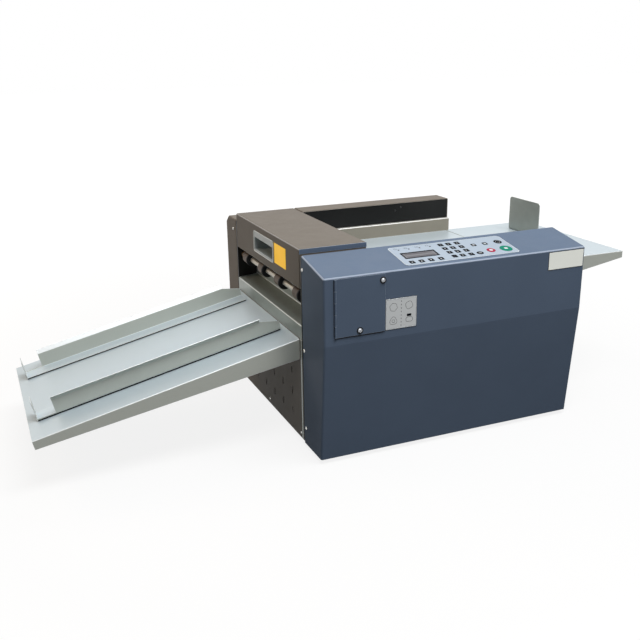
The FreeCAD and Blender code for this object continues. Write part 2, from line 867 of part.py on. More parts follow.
def belt_loop(extra, y0, y1):
    """Solid inside a belt that runs round its pulleys on outer tangents, beside their pitch circles."""
    circles = belt_circles(extra)
    tangents = []
    for first, second in zip(circles, circles[1:] + circles[:1]):
        dx, dz = second[0] - first[0], second[1] - first[1]
        lean = math.atan2(dz, dx) - math.acos((first[2] - second[2]) / math.hypot(dx, dz))
        tangents.append((lean, [
            (c[0] + c[2] * math.cos(lean), c[1] + c[2] * math.sin(lean)) for c in (first, second)]))
    edges = []
    for index, (lean, ends) in enumerate(tangents):
        start, end = [Vector(x, y0, z) for x, z in ends]
        edges.append(Part.LineSegment(start, end).toShape())
        x, z, radius = circles[(index + 1) % len(circles)]
        next_lean, next_ends = tangents[(index + 1) % len(tangents)]
        turn = (next_lean - lean) % (2 * math.pi)
        middle = lean + turn / 2
        halfway = Vector(x + radius * math.cos(middle), y0, z + radius * math.sin(middle))
        after = Vector(next_ends[0][0], y0, next_ends[0][1])
        edges.append(Part.Arc(end, halfway, after).toShape())
    face = Part.Face(Part.Wire(Part.__sortEdges__(edges)))
    return face.extrude(Vector(0, y1 - y0, 0))


def make_belt():
    y0 = pulley_front + pulley_flange + seam
    y1 = pulley_front + pulley_width - pulley_flange - seam
    outer = belt_loop(belt_thickness / 2, y0, y1)
    return outer.cut(belt_loop(-belt_thickness / 2, y0 - overrun, y1 + overrun))


def shaft(x, z, y0, y1):
    return rod_y(x, z, shaft_radius, y0, y1)


def exit_wheel_places():
    return [front_frame_inner + passage * share for share in exit_wheel_shares]


def make_exit_shaft():
    """Shaft of the exit wheels, thicker between the side frames than in its bushes."""
    x = at_x(exit_x)
    core = rod_y(
        x, exit_z, exit_core_radius, front_frame_inner + exit_core_gap, rear_frame_inner - exit_core_gap)
    return core.fuse(shaft(x, exit_z, front_frame_outer - bush_lip, shaft_back)).removeSplitter()


def make_exit_hubs():
    """Hub behind each black wheel, on the thick part of the shaft."""
    x = at_x(exit_x)
    hubs = []
    for y in exit_wheel_places():
        y0 = y + exit_wheel_width / 2
        y1 = y0 + exit_hub_length
        hub = rod_y(x, exit_z, exit_hub_radius, y0, y1)
        hub = hub.makeChamfer(sheet / 2, hub.Edges[0:1])
        hubs.append(hub.cut(rod_y(x, exit_z, exit_core_radius, y0 - overrun, y1 + overrun)))
    return Part.makeCompound(hubs)


def make_exit_tyres():
    x = at_x(exit_x)
    tyres = []
    for y in exit_wheel_places():
        y0, y1 = y - exit_wheel_width / 2, y + exit_wheel_width / 2
        tyre = rod_y(x, exit_z, exit_wheel_radius, y0, y1)
        tyre = tyre.makeFillet(sheet, tyre.Edges[0:1] + tyre.Edges[2:3])
        tyres.append(tyre.cut(rod_y(x, exit_z, exit_core_radius, y0 - overrun, y1 + overrun)))
    return Part.makeCompound(tyres)


def make_pinch_roller():
    x = at_x(exit_x)
    roller = shaft(x, pinch_z, front_frame_outer - bush_lip, rear_frame_outer + bush_lip)
    for y in exit_wheel_places():
        wheel = rod_y(x, pinch_z, pinch_radius, y - pinch_width / 2, y + pinch_width / 2)
        wheel = wheel.makeFillet(sheet / 2, wheel.Edges[0:1] + wheel.Edges[2:3])
        roller = roller.fuse(wheel)
    return roller.removeSplitter()


def make_feed_roller(z, back, with_gear):
    x = at_x(feed_x)
    roller = shaft(x, z, front_frame_outer - bush_lip, back)
    sleeve = rod_y(
        x, z, feed_roller_radius, front_frame_inner + feed_end_gap, rear_frame_inner - feed_end_gap)
    roller = roller.fuse(sleeve)
    if with_gear:
        roller = roller.fuse(gear(x, z, feed_pitch_radius, feed_tooth_count, True))
    return roller.removeSplitter()


def tool_wheel_places():
    return [front_frame_inner + passage * share for share in tool_wheel_shares]


def revolved_wheel(x, z, y, half_outline):
    """Wheel turned from half of its section, given as (distance from the middle, radius)."""
    points = [Vector(x, y - offset, z + radius) for offset, radius in half_outline]
    points += [Vector(x, y + offset, z + radius) for offset, radius in reversed(half_outline)]
    wire = Part.makePolygon(points + points[:1])
    return Part.Face(wire).revolve(Vector(x, y, z), Vector(0, 1, 0), 360)


def tool_wheels(z, half_outline):
    wheels = [revolved_wheel(at_x(tool_x), z, y, half_outline) for y in tool_wheel_places()]
    return Part.makeCompound(wheels)


def make_crease_wheels():
    outline = [
        (crease_hub_length, shaft_radius), (crease_hub_length, crease_hub_radius),
        (crease_flank_width / 2, crease_hub_radius), (crease_flank_width / 2, crease_flank_radius),
        (crease_rim_width / 2, crease_rim_radius)]
    return tool_wheels(upper_tool_z, outline)


def make_anvil_wheels():
    outline = [
        (crease_hub_length, shaft_radius), (crease_hub_length, crease_hub_radius),
        (anvil_width / 2, crease_hub_radius), (anvil_width / 2, anvil_radius),
        (anvil_groove_width / 2, anvil_radius), (anvil_groove_width / 3, anvil_groove_radius)]
    return tool_wheels(lower_tool_z, outline)


def bearing_plate_front():
    return front_frame_outer - bearing_plate_thickness


def knob_span():
    back = bearing_plate_front() - tool_knob_gap
    return back - tool_knob_width, back


def make_upper_tool_shaft():
    x = at_x(tool_x)
    body = shaft(x, upper_tool_z, knob_span()[0] + sheet, gear_front + gear_width + shaft_end)
    return body.fuse(gear(x, upper_tool_z, tool_pitch_radius, tool_tooth_count, True)).removeSplitter()


def make_lower_tool_shaft():
    return shaft(at_x(tool_x), lower_tool_z, bearing_plate_front() - shaft_end, shaft_back)


def make_bearing_plate():
    x, middle = at_x(tool_x), (lower_tool_z + upper_tool_z) / 2
    plate = rounded_box(
        x - bearing_plate_length / 2, x + bearing_plate_length / 2, bearing_plate_front(), front_frame_outer,
        middle - bearing_plate_height / 2, middle + bearing_plate_height / 2, tool_window_margin,
        Vector(0, 1, 0))
    for z in (lower_tool_z, upper_tool_z):
        bore = rod_y(x, z, shaft_radius + running_gap, front, rear)
        plate = plate.cut(bore)
    return plate


def fluted_knob(radius, length):
    """Upright knob on the origin with a rounded top and finger flutes round its rim."""
    knob = Part.makeCylinder(radius, length)
    rim = [edge for edge in knob.Edges if edge.CenterOfMass.z > length - running_gap]
    knob = knob.makeFillet(sheet, rim)
    for index in range(knob_flutes):
        angle = 2 * math.pi * index / knob_flutes
        reach = radius + knob_flute_radius / 3
        flute = rod_z(
            reach * math.cos(angle), reach * math.sin(angle), knob_flute_radius, -overrun, length + overrun)
        knob = knob.cut(flute)
    return knob


def make_tool_knob():
    knob = fluted_knob(tool_knob_radius, tool_knob_width)
    knob.rotate(Vector(0, 0, 0), Vector(1, 0, 0), 90)
    knob.translate(Vector(at_x(tool_x), knob_span()[1], upper_tool_z))
    return knob.cut(make_upper_tool_shaft())


def make_pickup_shaft():
    y0, y1 = front_frame_outer - bush_lip, rear_frame_outer + bush_lip + shaft_end
    return shaft(at_x(pickup_x), pickup_z, y0, y1)


def make_pickup_wheels():
    wheels = []
    for share in pickup_shares:
        y = front_frame_inner + passage * share
        y0, y1 = y - pickup_wheel_width / 2, y + pickup_wheel_width / 2
        tread = rod_y(at_x(pickup_x), pickup_z, pickup_radius, y0, y1)
        tread = tread.makeFillet(sheet / 2, tread.Edges[0:1] + tread.Edges[2:3])
        hub = rod_y(at_x(pickup_x), pickup_z, pickup_hub_radius, y0 - sheet * 2, y1 + sheet * 2)
        bore = shaft(at_x(pickup_x), pickup_z, y0 - overrun, y1 + overrun)
        wheels.append(tread.fuse(hub).cut(bore).removeSplitter())
    return Part.makeCompound(wheels)


def make_pickup_motor():
    half = pickup_motor_size / 2
    y0 = rear_frame_outer + bush_lip
    x, z = at_x(pickup_x), pickup_z
    body = block(x - half, x + half, y0, y0 + pickup_motor_length, z - half, z + half)
    body = body.makeChamfer(pickup_motor_chamfer, edges_along(body, Vector(0, 1, 0), lambda middle: True))
    socket = rod_y(x, z, shaft_radius + running_gap, y0 - overrun, y0 + shaft_end + seam)
    recess = rod_y(x, z, bush_lip_radius + seam, y0 - overrun, y0 + seam)
    spigot = ring_y(x, z, bush_lip_radius + seam, bush_lip_radius + sheet * 2, rear_frame_outer, y0 + sheet)
    return body.cut(recess).cut(socket).fuse(spigot)


def make_main_motor():
    x = at_x(motor_x)
    body = rod_y(x, motor_z, motor_radius, rear_frame_inner - motor_length, rear_frame_inner)
    body = body.makeFillet(sheet * 2, body.Edges[0:1] + body.Edges[2:3])
    boss = rod_y(x, motor_z, motor_boss_radius, rear_frame_inner, rear_frame_outer + motor_boss_length)
    bore = rod_y(x, motor_z, shaft_radius + running_gap, rear_frame_inner - motor_length / 2, rear)
    return body.fuse(boss).cut(bore).removeSplitter()


def make_motor_pulley():
    x = at_x(motor_x)
    wheel = pulley(x, motor_z, motor_pulley_radius, pulley_front)
    spindle = shaft(x, motor_z, rear_frame_inner - motor_length / 4, pulley_front + pulley_width + shaft_end)
    return wheel.fuse(spindle).removeSplitter()


def make_rear_cover():
    outline = [
        (rear_frame_outer, bottom), (rear, bottom), (rear, drive_top - drive_chamfer_drop),
        (rear - drive_chamfer_depth, drive_top), (rear_frame_outer, drive_top)]
    hood = sheet_hood(outline, left, drive_right, drive_bend)
    hood = hood.cut([hood_window(rear_frame_outer, left, drive_right, drive_rim, drive_top), make_base()])
    x0, z0 = inlet_left, bottom + inlet_height
    hood = hood.cut(block(x0, x0 + inlet_length, rear - overrun, rear + overrun, z0, z0 + inlet_rise))
    x0 += inlet_length + switch_gap - inlet_flange
    hood = hood.cut(block(x0, x0 + switch_length, rear - overrun, rear + overrun, z0, z0 + switch_rise))
    return hood


def make_power_inlet():
    """Mains inlet with its flange outside and three blades in an open socket."""
    x0, z0 = inlet_left, bottom + inlet_height
    x1, z1 = x0 + inlet_length, z0 + inlet_rise
    body = block(x0, x1, rear - inlet_depth, rear, z0, z1)
    flange = rounded_box(
        x0 - inlet_flange, x1 + inlet_flange, rear, rear + sheet / 2, z0 - inlet_flange, z1 + inlet_flange,
        inlet_flange, Vector(0, 1, 0))
    socket = block(
        x0 + inlet_wall, x1 - inlet_wall, rear - inlet_depth + inlet_wall, rear + overrun,
        z0 + inlet_wall, z1 - inlet_wall)
    body = body.fuse(flange).cut(socket)
    for index in (1, 2, 3):
        x = x0 + inlet_length * index / 4
        blade = block(
            x - inlet_wall / 2, x + inlet_wall / 2, rear - inlet_depth + inlet_wall, rear - inlet_depth / 3,
            z0 + inlet_rise / 3, z1 - inlet_rise / 3)
        body = body.fuse(blade)
    return body.removeSplitter()


def switch_box():
    x0 = inlet_left + inlet_length + switch_gap - inlet_flange
    z0 = bottom + inlet_height
    return x0, x0 + switch_length, z0, z0 + switch_rise


def make_power_switch():
    """Rocker on a short axle, with two halves that lean away from its middle."""
    x0, x1, z0, z1 = switch_box()
    middle = (z0 + z1) / 2
    fit = rocker_fit
    outline = [
        (rear - inlet_depth / 3, middle - switch_rise / 4), (rear + rocker_proud / 3, z0 + fit * 3),
        (rear + rocker_proud / 2, middle), (rear + rocker_proud, z1 - fit * 3),
        (rear - inlet_depth / 3, middle + switch_rise / 4)]
    axle = Part.makeCylinder(
        rocker_axle_radius, x1 - x0 - fit / 2, Vector(x0 + fit / 4, rear - sheet, middle), Vector(1, 0, 0))
    return plate_yz(outline, x0 + fit, x1 - fit).fuse(axle).removeSplitter()


def make_left_panel():
    """Exit-side lower panel with rows of upright cooling slots."""
    panel = block(
        left + edge_inset, left + edge_inset + sheet, front_frame_inner, rear_frame_inner,
        bottom + base_thickness, bottom + panel_top_height)
    slots = []
    for column in range(slot_columns):
        for row in range(slot_rows):
            y = front_frame_inner + slot_front_margin + column * slot_pitch_y
            z = bottom + slot_first_height + row * slot_pitch_height
            slots.append(rounded_box(
                left - overrun, left + overrun, y - slot_width / 2, y + slot_width / 2,
                z - slot_height / 2, z + slot_height / 2, slot_width / 2 - running_gap, Vector(1, 0, 0)))
    return panel.cut(slots)


def make_right_panel():
    x0 = at_x(extension_seam)
    return block(
        x0, x0 + sheet, front_frame_inner, rear_frame_inner,
        bottom + base_thickness, bottom + right_panel_height)


def make_base():
    x0, x1, x2 = left + base_margin, drive_right - base_margin, right - base_margin
    y0, y1, y2 = front + lower_face_setback + base_margin, front_frame_inner, rear - base_margin
    outline = [(x0, y0), (x2, y0), (x2, y1), (x1, y1), (x1, y2), (x0, y2)]
    plate = plate_xy(outline, bottom, bottom + base_thickness)
    outer = edges_along(plate, Vector(0, 0, 1), lambda middle: middle.y < y0 + seam or middle.y > y2 - seam)
    return plate.makeFillet(control_bend, outer)


def make_feet():
    feet = []
    for x, y in (
            (left + foot_inset, front + front_foot_setback),
            (right - foot_inset, front + front_foot_setback),
            (left + foot_inset, rear - foot_inset), (drive_right - foot_inset, rear - foot_inset)):
        foot = Part.makeCone(foot_radius * 0.85, foot_radius, foot_height, Vector(x, y, 0))
        feet.append(foot)
    return Part.makeCompound(feet)


def make_tie_bars():
    bars = []
    for x, height in tie_places:
        bars.append(rod_y(at_x(x), bottom + height, tie_radius, front_frame_inner, rear_frame_inner))
    return Part.makeCompound(bars)


def make_power_supply():
    """Vented supply box that stands on the base plate in the control housing."""
    x0, y0, z0 = at_x(supply_start), at_y(supply_front), bottom + base_thickness
    box = block(x0, x0 + supply_length, y0, y0 + supply_depth, z0, z0 + supply_height)
    vents = []
    for index in range(slot_columns * 2):
        x = x0 + supply_length * (index + 1) / (slot_columns * 2 + 1)
        vents.append(block(
            x - slot_width / 2, x + slot_width / 2, y0 + supply_depth / 4, y0 + supply_depth * 3 / 4,
            z0 + supply_height - sheet, z0 + supply_height + overrun))
    return box.cut(vents)


def make_infeed_table():
    """Flat table between the frames with its edge folded down at the infeed end."""
    x0, x1 = at_x(table_start), at_x(extension_seam)
    path = [(x0, table_top), (x1, table_top), (x1, table_top - table_flange)]
    table = bent_sheet(
        path, -sheet, sheet * 2, lambda p: Vector(p.x, front_frame_inner, p.y), Vector(0, passage, 0))
    return table


def make_extension_table():
    """Lift-off table whose side rims taper towards the outer end."""
    x0, x1 = at_x(extension_seam) + sheet, at_x(extension_reach)
    y0, y1 = at_y(extension_front), at_y(extension_rear)

    def body(inset, floor):
        return plate_xz([
            (x0 + inset, table_top - inset), (x1 - inset, table_top - inset),
            (x1 - inset, table_top - extension_rim_outer - floor),
            (x0 + inset, table_top - extension_rim_root - floor)], y0 + inset, y1 - inset)

    rims = edges_along(body(0, 0), Vector(0, 1, 0), lambda middle: middle.z > table_top - seam)
    solid = body(0, 0)
    sides = edges_along(solid, Vector(1, 0, 0), lambda middle: middle.z > table_top - seam)
    ends = edges_along(
        solid, Vector(0, 1, 0), lambda middle: middle.z > table_top - seam and middle.x > x1 - seam)
    shell = solid.makeFillet(sheet * 1.5, sides + ends).cut(body(sheet, overrun))
    shell = shell.fuse(block(at_x(extension_seam) + seam, x0 + sheet, y0, y1, table_top - sheet, table_top))
    hook = block(x0, x0 + sheet, y0, y1, table_top - extension_hook, table_top)
    shell = shell.fuse(hook)
    below_hook = block(
        x0 - overrun, x0 + sheet, y0 - overrun, y1 + overrun, bottom, table_top - extension_hook)
    corner = block(
        x0 - overrun, right + control_clearance, y0 - overrun, front_frame_inner + control_clearance,
        bottom, cover_top)
    slot_end = x1 - stop_slot_margin
    slot = rounded_box(
        slot_end - stop_slot_length, slot_end, stop_middle_y - stop_slot_width / 2,
        stop_middle_y + stop_slot_width / 2, table_top - overrun, table_top + overrun,
        stop_slot_width / 2 - running_gap, Vector(0, 0, 1))
    return shell.cut([below_hook, corner, slot]).removeSplitter()


def stop_stud_x():
    return stop_x + stop_foot / 2


def make_back_stop():
    """Upright plate on a foot, with the stud that runs in the table's slot."""
    x0, y0 = stop_x, stop_middle_y - stop_width / 2
    z0 = table_top + seam
    path = [(x0, table_top + stop_height), (x0, z0), (x0 + stop_foot, z0)]
    plate = bent_sheet(path, sheet, sheet * 2, lambda p: Vector(p.x, y0, p.y), Vector(0, stop_width, 0))
    top = edges_along(plate, Vector(1, 0, 0), lambda middle: middle.z > table_top + stop_height - seam)
    plate = plate.makeFillet(stop_corner, top)
    stud = rod_z(
        stop_stud_x(), stop_middle_y, stop_stud_radius, table_top - sheet * 3, z0 + sheet + knob_height / 2)
    nut = rod_z(
        stop_stud_x(), stop_middle_y, stop_slot_width, table_top - sheet * 3, table_top - sheet - seam)
    return plate.fuse([stud, nut]).removeSplitter()


def make_stop_knob():
    knob = fluted_knob(knob_radius, knob_height)
    socket = Part.makeCylinder(stop_stud_radius + running_gap, knob_height / 2 + seam)
    knob = knob.cut(socket)
    knob.translate(Vector(stop_stud_x(), stop_middle_y, table_top + seam + sheet + seam))
    return knob


def make_side_guide():
    """Sheet guide that stands on the table in front of the beam, with a fold along its top."""
    y0 = at_y(beam_front) - guide_gap - sheet
    z1 = table_top + guide_height
    path = [(y0, table_top), (y0, z1), (y0 + guide_fold + sheet, z1)]
    x0 = at_x(guide_start)
    length = drive_right + guide_overhang - x0
    return bent_sheet(path, -sheet, sheet * 1.5, lambda p: Vector(x0, p.x, p.y), Vector(length, 0, 0))


def make_beam_cover():
    """Channel over the beam: top, back and both ends, open to the front and below."""
    x0, x1 = cover_right + beam_gap, drive_right
    y0, y1 = at_y(beam_front), rear_frame_inner
    z0 = cover_top - beam_height
    shell = block(x0, x1, y0, y1, z0, cover_top)
    bends = [edge for edge in shell.Edges if edge.CenterOfMass.z > cover_top - seam]
    bends += edges_along(shell, Vector(0, 0, 1), lambda middle: middle.y > y1 - seam)
    shell = shell.makeFillet(sheet * 1.5, bends)
    inner = block(x0 + sheet, x1 - sheet, y0 - overrun, y1 - sheet, z0 - overrun, cover_top - sheet)
    return shell.cut(inner)


def make_beam_face():
    """Dark plate that closes the front of the beam, folded back along its foot to the frame."""
    x0, x1 = cover_right + beam_gap + sheet, drive_right - sheet
    y0 = at_y(beam_front) + beam_face_inset
    z0, z1 = cover_top - beam_height, cover_top - sheet
    depth = rear_frame_inner - sheet
    path = [(y0, z1), (y0, z0), (depth, z0)]
    return bent_sheet(path, sheet, sheet * 1.5, lambda p: Vector(x0, p.x, p.y), Vector(x1 - x0, 0, 0))


def make_exit_chute():
    """Bent sheet: lip on the exit face, a gentle slope inwards, and a wall behind the rollers."""
    x0, x1 = left + edge_inset, left + edge_inset + chute_run
    lip_top, back_top = bottom + chute_lip_top, bottom + chute_back_height
    path = [
        (x0, lip_top - chute_lip_height), (x0, lip_top), (x1, lip_top + chute_rise), (x1, back_top),
        (x1 + chute_tail, back_top + chute_tail)]
    return bent_sheet(
        path, -sheet, chute_bend, lambda p: Vector(p.x, front_frame_inner, p.y), Vector(0, passage, 0))


def on_tray(shape):
    """Place a shape drawn in the tray's plane: X = 0 at the machine, Y from its front edge."""
    laid = shape.copy()
    laid.rotate(Vector(0, 0, 0), Vector(0, 1, 0), -tray_tilt)
    laid.translate(Vector(left, tray_front(), bottom + tray_root_height))
    return laid


def tray_front():
    return front_frame_inner + tray_front_gap


def make_delivery_tray():
    def body(inset, floor):
        return plate_xz([
            (-tray_length + inset, -inset), (-seam, -inset), (-seam, -tray_rim_root - floor),
            (-tray_length + inset, -tray_rim_outer - floor)], inset, tray_width - inset)

    solid = body(0, 0)
    sides = edges_along(solid, Vector(1, 0, 0), lambda middle: middle.z > -seam)
    shell = solid.makeFillet(sheet * 1.5, sides).cut(body(sheet, overrun))
    shell = on_tray(shell)
    wall = block(left - edge_inset, left + tray_width, front, rear, bottom, cover_top)
    return shell.cut(wall)


def make_tray_brackets():
    """Two gussets on the exit panel that the tray rests on, hidden by its rims."""
    lean = math.tan(math.radians(tray_tilt))
    top = bottom + tray_root_height - sheet / math.cos(math.radians(tray_tilt))
    x1 = left + edge_inset
    brackets = []
    for share in tray_bracket_shares:
        y = tray_front() + tray_width * share
        web = plate_xz([
            (x1, top), (x1 - tray_bracket_reach, top - tray_bracket_reach * lean),
            (x1 - tray_bracket_reach, top - tray_bracket_reach * lean - tray_bracket_foot / 2),
            (x1, top - tray_bracket_height)], y, y + tray_bracket_plate)
        foot = block(
            x1 - tray_bracket_plate, x1, y, y + tray_bracket_foot,
            top - tray_bracket_height, top - tray_bracket_plate)
        brackets.append(web.fuse(foot).removeSplitter())
    return Part.makeCompound(brackets)


def make_tray_guide(place, mirrored):
    """Angle with a flared top edge, its corner cut at the machine end, and an end stop."""
    lift = guide_lift + guide_strip
    top = lift + guide_sheet
    path = [
        (0, lift), (guide_base, lift), (guide_base, lift + guide_wall_height),
        (guide_base + guide_flare, lift + guide_wall_height + guide_flare)]
    x0 = -guide_near_end - guide_length
    along = Vector(guide_length, 0, 0)
    angle = bent_sheet(path, guide_sheet, guide_bend, lambda p: Vector(x0, p.x, p.y), along)
    beyond_wall = block(
        x0 - overrun, -guide_near_end - guide_wall_length, guide_base / 2, guide_base * 2,
        top + guide_bend, guide_base * 2)
    near, cut_start = -guide_near_end, -guide_near_end - guide_cut_length
    corner = plate_xz([
        (cut_start, guide_base * 2), (cut_start, lift + guide_wall_height),
        (near + overrun, lift + guide_cut_height), (near + overrun, guide_base * 2)],
        guide_base / 2, guide_base * 2)
    tab = block(x0, x0 + guide_sheet, 0, guide_base - guide_bend, lift, guide_tab_height)
    guide = angle.cut([beyond_wall, corner]).fuse(tab).removeSplitter()
    if mirrored:
        guide = guide.mirror(Vector(0, 0, 0), Vector(0, 1, 0))
        guide.translate(Vector(0, guide_base, 0))
    guide.translate(Vector(0, place, 0))
    return on_tray(guide)


def make_guide_strip(place):
    x0 = -guide_near_end - guide_length
    strip = block(
        x0 + guide_sheet, -guide_near_end - guide_sheet, guide_sheet, guide_base - guide_sheet,
        guide_lift, guide_lift + guide_strip)
    strip.translate(Vector(0, place, 0))
    return on_tray(strip)


def build():
    parts = {
        "base_plate": make_base(),
        "rubber_feet": make_feet(),
        "front_side_frame": make_front_frame(),
        "rear_side_frame": make_rear_frame(),
        "tie_bars": make_tie_bars(),
        "shaft_bushes": make_bushes(),
        "hinge_bridge": make_hinge_bridge(),
        "front_cover": make_front_cover(),
        "access_door": make_access_door(),
        "upper_thumb_screw": make_thumb_screw(upper_screw_place),
        "lower_thumb_screw": make_thumb_screw(lower_screw_place),
        "keypad_panel": make_keypad(),
        "display_window": make_display(),
        "start_key": make_key(start_key_place, start_key_radius),
        "stop_key": make_key(stop_key_place, stop_key_radius),
        "control_board": make_control_board(),
        "power_supply": make_power_supply(),
        "top_cover": make_top_cover(),
        "grip_cup": make_grip_cup(),
        "beam_cover": make_beam_cover(),
        "beam_face": make_beam_face(),
        "rear_cover": make_rear_cover(),
        "left_panel": make_left_panel(),
        "right_panel": make_right_panel(),
        "side_guide": make_side_guide(),
        "infeed_table": make_infeed_table(),
        "extension_table": make_extension_table(),
        "back_stop": make_back_stop(),
        "back_stop_knob": make_stop_knob(),
        "exit_chute": make_exit_chute(),
        "tray_brackets": make_tray_brackets(),
        "delivery_tray": make_delivery_tray(),
        "rear_tray_guide": make_tray_guide(rear_guide_place, False),
        "front_tray_guide": make_tray_guide(front_guide_place, True),
        "rear_guide_strip": make_guide_strip(rear_guide_place),
        "front_guide_strip": make_guide_strip(front_guide_place),
        "exit_shaft": make_exit_shaft(),
        "exit_hubs": make_exit_hubs(),
        "exit_tyres": make_exit_tyres(),
        "exit_pulley": pulley(at_x(exit_x), exit_z, exit_pulley_radius, pulley_front),
        "pinch_roller": make_pinch_roller(),
        "lower_feed_roller": make_feed_roller(lower_feed_z, shaft_back, False),
        "upper_feed_roller": make_feed_roller(upper_feed_z, gear_front + gear_width + shaft_end, True),
        "feed_gear_pulley": make_gear_pulley(
            at_x(feed_x), lower_feed_z, feed_pitch_radius, feed_tooth_count, feed_pulley_radius),
        "lower_tool_shaft": make_lower_tool_shaft(),
        "upper_tool_shaft": make_upper_tool_shaft(),
        "tool_gear_pulley": make_gear_pulley(
            at_x(tool_x), lower_tool_z, tool_pitch_radius, tool_tooth_count, tool_pulley_radius),
        "crease_wheels": make_crease_wheels(),
        "anvil_wheels": make_anvil_wheels(),
        "tool_bearing_plate": make_bearing_plate(),
        "tool_shaft_knob": make_tool_knob(),
        "pickup_shaft": make_pickup_shaft(),
        "pickup_wheels": make_pickup_wheels(),
        "pickup_motor": make_pickup_motor(),
        "main_motor": make_main_motor(),
        "motor_pulley": make_motor_pulley(),
        "drive_belt": make_belt(),
        "power_inlet": make_power_inlet(),
        "power_switch": make_power_switch(),
    }
    return parts


for name, shape in build().items():
    save(name, shape)
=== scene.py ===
import math

import bmesh
import bpy
from mathutils import Matrix, Vector


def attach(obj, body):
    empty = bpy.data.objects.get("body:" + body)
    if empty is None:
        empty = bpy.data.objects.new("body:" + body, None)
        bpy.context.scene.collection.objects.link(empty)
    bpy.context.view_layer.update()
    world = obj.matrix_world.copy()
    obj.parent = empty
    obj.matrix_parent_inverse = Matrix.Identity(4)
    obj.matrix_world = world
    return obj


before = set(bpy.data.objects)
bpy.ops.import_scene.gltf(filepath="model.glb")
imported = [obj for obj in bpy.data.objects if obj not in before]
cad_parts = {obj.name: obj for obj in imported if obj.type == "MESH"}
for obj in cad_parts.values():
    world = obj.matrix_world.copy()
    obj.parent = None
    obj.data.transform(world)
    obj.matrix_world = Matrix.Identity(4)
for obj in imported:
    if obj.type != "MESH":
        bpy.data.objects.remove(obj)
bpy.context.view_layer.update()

# A desktop machine that creases sheets between wheels: looks, small parts, light and camera.
# Places are in millimetres of the body: x from its exit end, y from its front face, z above the floor.
EXIT_END = -125.544
FRONT_FACE = -295.4

X, Y, Z = Vector((1, 0, 0)), Vector((0, 1, 0)), Vector((0, 0, 1))


def place(x, y, z):
    """A point of the body, in metres of the shared frame."""
    return Vector((x + EXIT_END, y + FRONT_FACE, z)) / 1000


def plane(origin, across, up):
    """A drawing plane in millimetres: across and up lie in it, and it faces out of the body."""
    turn = Matrix((across, up, across.cross(up))).transposed().to_4x4()
    return Matrix.Translation(origin) @ turn @ Matrix.Scale(0.001, 4)


# The curve that turns a printed colour part into a linear one.
CURVE_KNEE, CURVE_SLOPE, CURVE_OFFSET, CURVE_POWER = 0.04045, 12.92, 0.055, 2.4


def shade(red, green, blue):
    """A printed colour, 0 to 255, as the linear colour that Blender mixes."""
    linear = []
    for part in (red, green, blue):
        part /= 255
        linear.append(part / CURVE_SLOPE if part < CURVE_KNEE
                      else ((part + CURVE_OFFSET) / (1 + CURVE_OFFSET)) ** CURVE_POWER)
    return (*linear, 1)


# ---------------------------------------------------------------- camera
YAW, PITCH, ROLL = math.radians(22.66), math.radians(-18.36), math.radians(-0.80)
CAMERA_AT = (-0.686144, -1.6203, 0.7814)
LENS, SENSOR_WIDTH = 47.12, 36
NEAREST, FARTHEST = 0.05, 60
ahead = Vector((math.sin(YAW) * math.cos(PITCH), math.cos(YAW) * math.cos(PITCH), math.sin(PITCH)))
level = ahead.cross(Z).normalized()
above = level.cross(ahead)
aside = math.cos(ROLL) * level + math.sin(ROLL) * above
upward = -math.sin(ROLL) * level + math.cos(ROLL) * above
camera = bpy.data.objects.new("camera", bpy.data.cameras.new("camera"))
camera.data.sensor_width = SENSOR_WIDTH
camera.data.lens = LENS
camera.data.clip_start = NEAREST
camera.data.clip_end = FARTHEST
camera.matrix_world = Matrix.Translation(CAMERA_AT) @ Matrix((aside, upward, -ahead)).transposed().to_4x4()
bpy.context.scene.collection.objects.link(camera)
bpy.context.scene.camera = camera


# ---------------------------------------------------------------- node helpers
class Board:
    """A node tree with a short way to add and join nodes."""

    def __init__(self, tree):
        self.tree = tree

    def node(self, kind, sockets=None, **settings):
        made = self.tree.nodes.new(kind)
        for name, value in settings.items():
            setattr(made, name, value)
        for name, value in (sockets or {}).items():
            self.feed(made.inputs[name], value)
        return made

    def feed(self, socket, value):
        if isinstance(value, bpy.types.NodeSocket):
            self.tree.links.new(value, socket)
        else:
            socket.default_value = value

    def sum(self, operation, first, second=0.0, third=None):
        made = self.node("ShaderNodeMath", operation=operation)
        self.feed(made.inputs[0], first)
        self.feed(made.inputs[1], second)
        if third is not None:
            self.feed(made.inputs[2], third)
        return made.outputs[0]

    def stretch(self, value, low, high, to_low=0.0, to_high=1.0):
        made = self.node("ShaderNodeMapRange", {
            "Value": value, "From Min": low, "From Max": high, "To Min": to_low, "To Max": to_high})
        return made.outputs["Result"]

    def blend(self, factor, first, second, kind="MIX"):
        made = self.node("ShaderNodeMix", data_type="RGBA", blend_type=kind)
        self.feed(made.inputs[0], factor)
        self.feed(made.inputs[6], first)
        self.feed(made.inputs[7], second)
        return made.outputs[2]


def effect(name, inputs, outputs):
    """A shader group with named sockets; gives the board, its input node and its output node."""
    tree = bpy.data.node_groups.new(name, "ShaderNodeTree")
    for label, kind, value in inputs:
        socket = tree.interface.new_socket(label, in_out="INPUT", socket_type=kind)
        socket.default_value = value
    for label, kind in outputs:
        tree.interface.new_socket(label, in_out="OUTPUT", socket_type=kind)
    board = Board(tree)
    return board, board.node("NodeGroupInput"), board.node("NodeGroupOutput")


# ---------------------------------------------------------------- shared effects
# Ranges that masks are stretched over: where a mask starts, and then where it is full.
NOISE_RANGE = (0.3, 0.7)
RUB_RANGE = (0.3, 0.75)
CHIP_RANGE = (0.62, 0.40)
DRIFT_RANGE = (0.35, 0.75)
LINE_RANGE = (0.7, 1.3)
EDGE_RANGE = (0.995, 0.90)
LYING_RANGE = (0.35, 1.0)
BEND_START, BEND_END = (0.15, 0.40), (0.94, 0.78)
